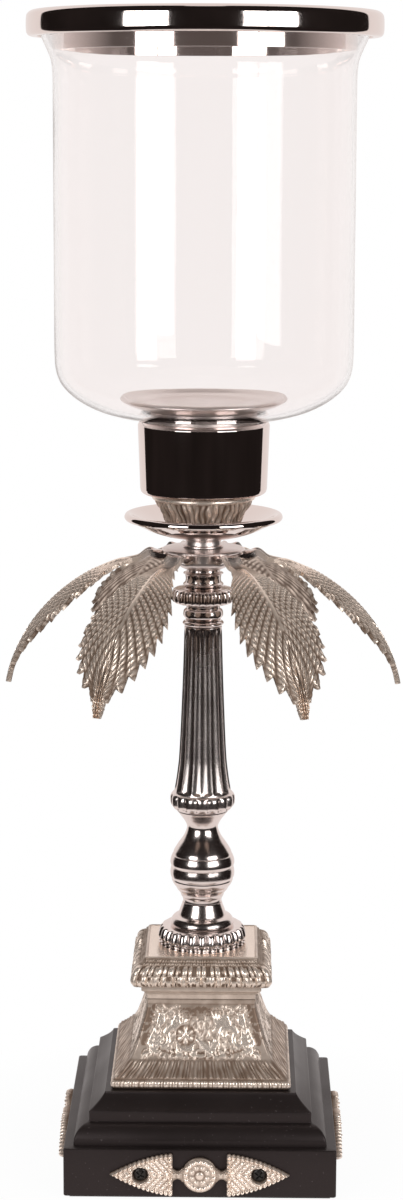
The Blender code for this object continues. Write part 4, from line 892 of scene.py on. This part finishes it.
def leaf_grid():
    """Where each point of a leaf lies: its distance along the spine, its distance to the side, and its
    height over the blade. Rows sweep forward from the midrib to the teeth, so that the row at the
    share s ends at the share 1 - (1 - s)^1.6 of the edge."""
    path, length = leaf_spine()
    stem = np.interp(LEAF_STEM_END, path[:, 0], length)
    blade = length[-1] - stem
    v = np.linspace(-1, 1, LEAF_COLUMNS)[None, :]
    off = np.abs(v)
    s = np.concatenate([np.zeros(STEM_ROWS), np.linspace(0, 1, BLADE_ROWS)])[:, None]
    on_stem = np.linspace(0, stem, STEM_ROWS, endpoint=False)
    base = np.concatenate([on_stem, np.full(BLADE_ROWS, stem)])[:, None]
    on_blade = np.repeat([0.0, 1.0], [STEM_ROWS, BLADE_ROWS])[:, None]
    edge = 1 - (1 - s) ** 1.6
    tooth = edge * (LEAF_TEETH + 1.5) - 0.6
    saw = tooth - np.floor(tooth)
    bite = unit(saw / 0.82) * fade(saw, 0.86, 1)
    toothed = between(edge, 0.03, 0.12, 0.895, 0.92)
    half = np.where(on_blade > 0, leaf_outline(edge), LEAF_STEM_HALF)
    side = v * (half - 3.2 * (1 - bite) * toothed * off ** 6)
    lead = (edge - s) * blade * off ** 1.15
    along = base + (s * blade + lead + 2 * bite * toothed * off ** 8) * on_blade
    u, aside = (along - stem) / blade, np.abs(side)
    rope, run = rope_at(unit(u), aside / np.maximum(half, 1))
    beads = ridge(np.hypot(run * blade, side) / BEAD_LENGTH + 0.5 * np.floor(rope))
    low_half = ease(u, 0.42, 0.58)
    beaded = ease(along, stem + 10, stem + 24) * np.maximum(ease(aside, 0.9, 2.4), low_half)
    on_ropes = ease(along, stem + 3, stem + 14) * np.maximum(ease(aside, 0.8, 2.0), low_half)
    rib = bead(side / (2.2 - 1.2 * unit(u / 0.6)) / 2)
    rib = rib * ease(along, stem - 4, stem + 4) * fade(u, 0.40, 0.56)
    tongue = ease(u, 0.88, 0.92)
    carved = on_ropes * ridge(rope, 1.6) * (1 - 0.9 * beaded * (1 - beads))
    carved = carved * (0.40 + 0.60 * ease(u, 0.06, 0.26))
    carved = np.maximum(carved, tongue * ridge(side / 1.5 + 0.5) * ridge(along / 2))
    before_blade = fade(along, stem - 3, stem + 7)
    gutter = fade(off, 0.2, 0.85) * before_blade * ease(along, 10, 16)
    thick = (1 - off ** 2.5) * fade(along, 6, 18)
    droop = 6.2 * (side / 23) ** 2 * ease(along, stem, stem + 14)
    height = 1.35 * carved + 1.3 * rib - 2 * gutter + 1.6 * thick
    relief = 0.48 - 0.40 * ease(u, 0.10, 0.30) + 1.02 * carved ** 1.3 + 0.60 * rib + 0.1 * tongue
    relief = relief + before_blade * (0.25 - 0.9 * gutter)
    return path, length, along, side, height, droop, unit(relief)


def palm_leaf(number):
    """A cast palm leaf. A point lies on the spine at its distance along, moved sideways, lowered by the
    droop of the blade and raised along the spine's normal by the carving. The underside repeats the
    carving faintly, one thickness below."""
    path, length, along, side, height, droop, relief = leaf_grid()
    under = slice(None, None, -4)
    deep = LEAF_THICKNESS + 1.8 * fade(along[:, under], 10, 34)
    along = np.hstack([along, along[:, under]])
    side = np.hstack([side, 0.985 * side[:, under]])
    droop = np.hstack([droop, droop[:, under]])
    height = np.hstack([height, 0.35 * height[:, under] - deep])
    relief = np.hstack([relief, 0.75 * relief[:, under]])
    slope = np.gradient(path, length, axis=0)
    out = np.interp(along, length, path[:, 0]) - height * np.interp(along, length, slope[:, 1])
    up = np.interp(along, length, path[:, 1]) + height * np.interp(along, length, slope[:, 0]) - droop
    turn = (number - 1) * TAU / LEAF_COUNT
    points = np.stack([out * math.cos(turn) - side * math.sin(turn),
                       out * math.sin(turn) + side * math.cos(turn), up], -1)
    piece = surface("palm_leaf_%d_cast" % number, points, ends=True, relief=relief, sharp=70.0)
    fit(piece, "palm_leaf_%d" % number, LEAF)


def dished_pan():
    """The drip pan: a thin dish with a rolled rim."""
    lathe("dished_pan", "drip_pan", NICKEL, [(BORE, 0), (10.0, 0)],
          bend((10.0, 0), (14.0, 0.5), (20.0, 1.7), (27.0, 3.8), (33.0, 6.6), (38.0, 9.2)),
          bend((38.0, 9.2), (40.0, 9.5), (reach("drip_pan"), 10.9), (40.4, 12.6), (38.8, 13.2), (37.2, 12.6)),
          bend((37.2, 12.6), (33.0, 9.8), (27.0, 6.6), (21.0, 4.3), (17.0, 3.2), (15.8, 3.1)),
          [(BORE, 3.1)], corner=0.2)


def leafy_calyx():
    """The cast cone under the cup: upright curling leaves beneath a plain lip."""
    def leaves(z, a):
        share, turn = unit(z / 16.8), a / TAU
        curl = 0.16 * np.sin(share * 5 + 5 * a) + 0.12 * np.sin(share * 11 + 3 * np.sin(6 * a))
        breaks = 0.78 + 0.22 * np.sin(share * 13 + 4 * np.sin(9 * a))
        aside = zigzag(turn * CALYX_LEAVES + 0.12 * np.sin(share * 6 + 2 * a))
        leaf = unit(1 - (aside / (1 - 0.5 * share ** 2)) ** 2)
        return 0.68 * ridge(turn * CALYX_STRANDS + curl, 1.5) * breaks + 0.32 * leaf

    def press(r, z, a):
        return r + (2.4 * leaves(z, a) - 1.4) * ease(r, 12, 15) * (z < CALYX_LEAF_TOP)

    def relief(r, z, a):
        return np.where(z < CALYX_LEAF_TOP, unit(1.12 * leaves(z, a) ** 1.35), 0.85)

    top = tall("calyx_cone") + CUP_RAISED
    lathe("leafy_calyx", "calyx_cone", SILVERED, [(BORE, 0), (16.0, 0)],
          bend((16.0, 0), (17.6, 2.6), (19.6, 6.4), (21.6, 10.4), (23.6, 13.8), (25.0, 16.8), steps=14),
          bend((25.2, 17.1), (26.6, 17.6), (26.6, 19.0), (25.4, top)), [(BORE, top)],
          corner=0.2, press=press, relief=relief, sides=CALYX_STRANDS * 9, sharp=60.0)


def shade_cup():
    """The cup: a slightly tapered wall with a bevel at its mouth and a floor inside."""
    top, rim = tall("glass_cup") + MOUTH_RAISED - CUP_RAISED, reach("glass_cup")
    lathe("shade_cup", "glass_cup", NICKEL, [(BORE, 0), (30.0, 0)],
          bend((30.0, 0), (31.4, 0.4), (32.4, 1.4), (32.8, 3.0)),
          [(32.82, 3.6), (rim - 0.01, top - 2.35), (rim, top - 2.1), (rim - 0.9, top), (rim - 1.5, top),
           (31.2, 5.6), (31.2, 2.6), (BORE, 2.6)], corner=0.2, raised=CUP_RAISED)


def blown_shade():
    """The glass: an outline from its neck to its flared mouth, and the same outline one wall further
    in, joined at both ends. Its heights are from the ground."""
    foot, top, mouth = low("glass_shade"), high("glass_shade"), reach("glass_shade")
    cup, body = high("glass_cup") + MOUTH_RAISED, top - 30
    bowl = bend((NECK_RADIUS, cup - 1.2), (NECK_RADIUS + 0.9, cup + 0.2), (35.0, cup + 1.2),
                (45.0, cup + 3.0), (56.0, cup + 6.4), (66.0, cup + 12.0), (73.0, cup + 19.0),
                (76.0, cup + 27.0), (SHADE_RADIUS, cup + 38.0))
    flare = bend((SHADE_RADIUS, body), (SHADE_RADIUS + 0.2, body + 4.0), (77.6, body + 9.4),
                 (79.8, body + 14.8), (82.2, body + 20.0), (mouth, body + 24.6))
    outer = np.vstack([[(NECK_RADIUS, foot + 0.4)], bowl, flare, [(mouth, top - 0.6)]])
    step = np.gradient(outer, axis=0)
    step /= np.hypot(*step.T)[:, None]
    inner = outer + GLASS_WALL * np.stack([-step[:, 1], step[:, 0]], -1)
    inner[0] = (NECK_RADIUS - GLASS_WALL, foot + 0.4)
    inner[-1, 1] = top - 0.6
    middle = (outer[[0, -1], 0] + inner[[0, -1], 0]) / 2
    line = np.vstack([[(middle[0], foot)], outer, [(middle[1], top)], inner[::-1]])
    piece = turned("blown_shade", line, sides=SHADE_SIDES, sharp=60.0)
    piece.visible_shadow = False
    fit(piece, "glass_shade", GLASS, "glass")


def mouth_ring():
    """The ring over the shade's mouth: a rounded band outside, a groove over the glass and a skirt
    inside."""
    top, rim, groove = tall("rim_ring"), reach("rim_ring"), reach("glass_shade") + 0.4
    band, under = top - 13.0, top - 3.2
    lathe("mouth_ring", "rim_ring", RING, [(groove, band)],
          bend((groove, band), (87.8, band + 0.1), (89.3, band + 1.2), (rim, band + 3.4), (rim, band + 7.8),
               (89.3, band + 10.8), (87.4, band + 12.5), (84.8, top)),
          bend((77.4, top), (76.0, top - 0.5), (75.4, top - 1.6)),
          [(75.4, 0), (76.8, 0), (76.8, under), (groove, under)],
          corner=0.25, body="glass", sides=SHADE_SIDES)


def pillar_plate():
    """The candle plate: a dished plate with a rolled rim on a hollow spigot."""
    top = tall("candle_plate")
    line = outline([(25.9, 0), (27.5, 0), (27.5, top - 7.6)],
                   bend((28.4, top - 6.6), (33.0, top - 6.5), (38.4, top - 4.6), (41.6, top - 2.9)),
                   bend((41.6, top - 2.9), (43.2, top - 1.7), (41.6, top), (39.6, top - 1.1)),
                   bend((39.6, top - 1.1), (36.6, top - 3.2), (33.0, top - 4.3), (28.0, top - 4.6),
                        (10.0, top - 4.6), (AXIS, top - 4.6)), corner=0.25, closed=False)
    line = np.vstack([[(AXIS, top - 6.6), (25.9, top - 6.6)], line])
    piece = turned("pillar_plate", line, foot=low("candle_plate"), closed=False)
    fit(piece, "candle_plate", SATIN, "plate")


def hidden_hardware():
    """The pieces that lie inside keep the construction's own shapes and get their finishes."""
    inside = {"felt_pad": black_felt(), "glass_seal": clear_rubber()}
    inside.update(dict.fromkeys(("base_nut", "base_washer", "tie_rod", "cup_washer", "cup_nut"), STEEL))
    for name, finish in inside.items():
        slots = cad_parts[name].data.materials
        slots.clear()
        slots.append(finish)


def spin(degrees, axis="Z"):
    return Matrix.Rotation(math.radians(degrees), 4, axis)


def shift(y, z):
    """A move by millimetres."""
    return Matrix.Translation((0, y * MM, z * MM))


def camera():
    """The photograph's view: a long lens a little above the shade's mouth, looking down at the holder."""
    lens = bpy.data.cameras.new("camera")
    lens.sensor_width = SENSOR
    lens.lens = FOCAL_PIXELS / PHOTO_HEIGHT * SENSOR
    view = place("camera", lens)
    view.matrix_world = (spin(CAMERA_SIDE_TURN) @ shift(-CAMERA_DISTANCE, CAMERA_HEIGHT) @ spin(CAMERA_YAW)
                         @ spin(90 - CAMERA_PITCH, "X") @ spin(CAMERA_ROLL))
    bpy.context.scene.camera = view


def seen_directly(tree):
    """1 for rays from the camera, a mirror or glass, and 0 for those that light the object."""
    path = node(tree, "LightPath").outputs
    direct = maths(tree, "MAXIMUM", path["Is Camera Ray"], path["Is Glossy Ray"])
    return maths(tree, "MAXIMUM", direct, path["Is Transmission Ray"])


def room_colour(tree):
    """White as the camera sees it, through glass too, and the pale warm grey of the walls in a mirror."""
    path = node(tree, "LightPath").outputs
    mirrored = times(tree, path["Is Glossy Ray"], minus(tree, 1, path["Is Transmission Ray"]))
    return mix(tree, mirrored, WHITE, PALE_WALL)


def studio_world():
    """A white room: white as seen, and at a plain level as light."""
    world = bpy.data.worlds.new("studio")
    bpy.context.scene.world = world
    world.use_nodes = True
    tree = world.node_tree
    feed(tree, tree.nodes["Background"], Color=room_colour(tree),
         Strength=remap(tree, seen_directly(tree), 0, 1, AMBIENT, 1))


def flat_sheet(name, rings, arc_from, arc_to, steps=48):
    """A sheet over rings of (radius, height), between two angles measured from -Y."""
    a = np.radians(np.linspace(arc_from, arc_to, steps))[None, :]
    rings = np.array(rings, float)
    r, z = rings[:, :1], rings[:, 1:]
    made = surface(name, np.stack([r * np.sin(a), -r * np.cos(a), z + 0 * a], -1), around=False)
    return made


def put_out(tree, share, first, second):
    """Let the material show a share of the second shader over the first."""
    blend = node(tree, "MixShader", i0=share, i1=first.outputs[0], i2=second.outputs[0])
    feed(tree, tree.nodes["Material Output"], Surface=blend.outputs[0])


def white_floor():
    """A pale floor that reads as white and keeps the holder's soft shadow close to the base."""
    floor = flat_sheet("floor", [(0.01, 0), (300, 0), (FLOOR_REACH, 0)], 0, 360, 97)
    made, tree, shader = material("floor")
    feed(tree, shader, Base_Color=(0.86, 0.855, 0.85, 1), Roughness=0.9)
    away = from_axis(tree)[0]
    far = remap(tree, times(tree, away, away), 0.008, 0.035, 0.96, 1)
    put_out(tree, times(tree, far, seen_directly(tree)), shader,
            node(tree, "Emission", Color=room_colour(tree), Strength=1))
    floor.data.materials.append(made)


def dark_room():
    """The unlit room in front of the table: a part of a sphere about the holder, and the dark floor
    beyond the table's edge. Metal sees it dark. A perfectly sharp ray has met the glass: there the room
    is as pale as its walls where the glass mirrors it, and half lit, brighter to the sides, where a
    mirror behind the glass does."""
    made, tree, _ = material("dark room")
    path = node(tree, "LightPath").outputs
    # Painted reflection: the sheets glow by themselves, dim and cloudy where metal mirrors them.
    cloud = noise(tree, 1.1, 2, (1, 1, 0.35))
    dim_glow = mix(tree, cloud, (0.007, 0.0055, 0.005, 1), (0.022, 0.0165, 0.0155, 1))
    # Painted light: behind glass the sheets glow brighter towards the sides.
    away, deep = from_axis(tree)
    aside = remap(tree, maths(tree, "DIVIDE", deep, maths(tree, "MAXIMUM", away, 0.01)), -0.35, 0.6)
    lit = mix(tree, aside, (0.095, 0.08, 0.075, 1), (0.80, 0.74, 0.72, 1))
    behind_glass = mix(tree, path["Is Transmission Ray"], PALE_WALL, lit)
    seen = mix(tree, path["Is Singular Ray"], dim_glow, behind_glass)
    glow = node(tree, "Emission", Color=seen, Strength=1)
    unmirrored = maths(tree, "LESS_THAN", path["Glossy Depth"], 0.5)
    put_out(tree, times(tree, path["Is Transmission Ray"], unmirrored), glow, node(tree, "BsdfTransparent"))
    walls = [(ROOM_RADIUS * math.cos(e), ROOM_MIDDLE + ROOM_RADIUS * math.sin(e))
             for e in np.radians(np.linspace(-40, 84, 24))]
    for name, rings in (("dark_walls", walls), ("dark_ground", [(TABLE_EDGE, 3), (ROOM_RADIUS + 100, 3)])):
        sheet = flat_sheet(name, rings, -ROOM_HALF_ARC, ROOM_HALF_ARC)
        sheet.data.materials.append(made)
        sheet.visible_camera = False
        sheet.visible_diffuse = False
        sheet.visible_shadow = False


def soft_boxes():
    """Tall soft boxes on the camera's side, a pair of panels to its left and a pair to its right."""
    for number, (angle, width, foot) in enumerate(SOFT_BOXES):
        height = SOFT_BOX_TOP - foot
        light = bpy.data.lights.new("soft_box_%d" % number, "AREA")
        light.shape = "RECTANGLE"
        light.size, light.size_y = width * MM, height * MM
        light.energy = SOFT_BOX_POWER * light.size * light.size_y
        lamp = place(light.name, light)
        lamp.matrix_world = spin(angle) @ shift(-SOFT_BOX_DISTANCE, foot + height / 2) @ spin(90, "X")
        lamp.visible_camera = False


BUFFED = buffed_group()
PATINA = patina_group()
NICKEL = polished_nickel("mirror nickel", 0.04, 0.02, 0.35)
RING = polished_nickel("ring nickel", 0.06, 0.02, 0.35)
COLUMN = polished_nickel("column nickel", 0.18, 0.03, 0.5)
SATIN = polished_nickel("satin nickel", 0.32, 0.05, 0.5)
TRUNK = polished_nickel("trunk nickel", 0.23, 0.05, 0.5, brush=0.9)
SILVERED = antique_nickel("antique nickel", (0.96, 0.82, 0.71, 1), (0.22, 0.148, 0.106, 1),
                          rough=(0.45, 0.27), metal=(0.5, 0.76))
LEAF = antique_nickel("leaf nickel", (0.99, 0.84, 0.72, 1), (0.18, 0.12, 0.085, 1),
                      rough=(0.5, 0.23), metal=(0.4, 0.80), polished=(0.032, 0.042))
LACQUER = black_lacquer()
GLASS = clear_glass()
SCREW = buffed_metal("black screw", (400, 3),
                     ((0.012, 0.011, 0.011, 1), (0.05, 0.045, 0.04, 1)), (0.3, 0.08, 0.2), 0.02, metallic=0.6)
STEEL = buffed_metal("plain steel", (150, 4), ((0.42, 0.42, 0.43, 1), (0.62, 0.61, 0.58, 1)),
                     (0.3, 0.1, 1.0), 0.03)

camera()
studio_world()
white_floor()
dark_room()
soft_boxes()
wooden_base()
for face, where in enumerate(("front", "right", "back", "left")):
    base_mount(where, face * math.pi / 2)
    for number in (1, 2):
        mount_screw(where, number, face * math.pi / 2)
pedestal()
cushion_cap()
lobed_foot()
pear_knop()
trunk()
small_rings()
gadroon_ring()
hub()
for number in range(1, LEAF_COUNT + 1):
    palm_leaf(number)
dished_pan()
leafy_calyx()
shade_cup()
blown_shade()
mouth_ring()
pillar_plate()
hidden_hardware()

bpy.context.scene.view_settings.view_transform = "Standard"
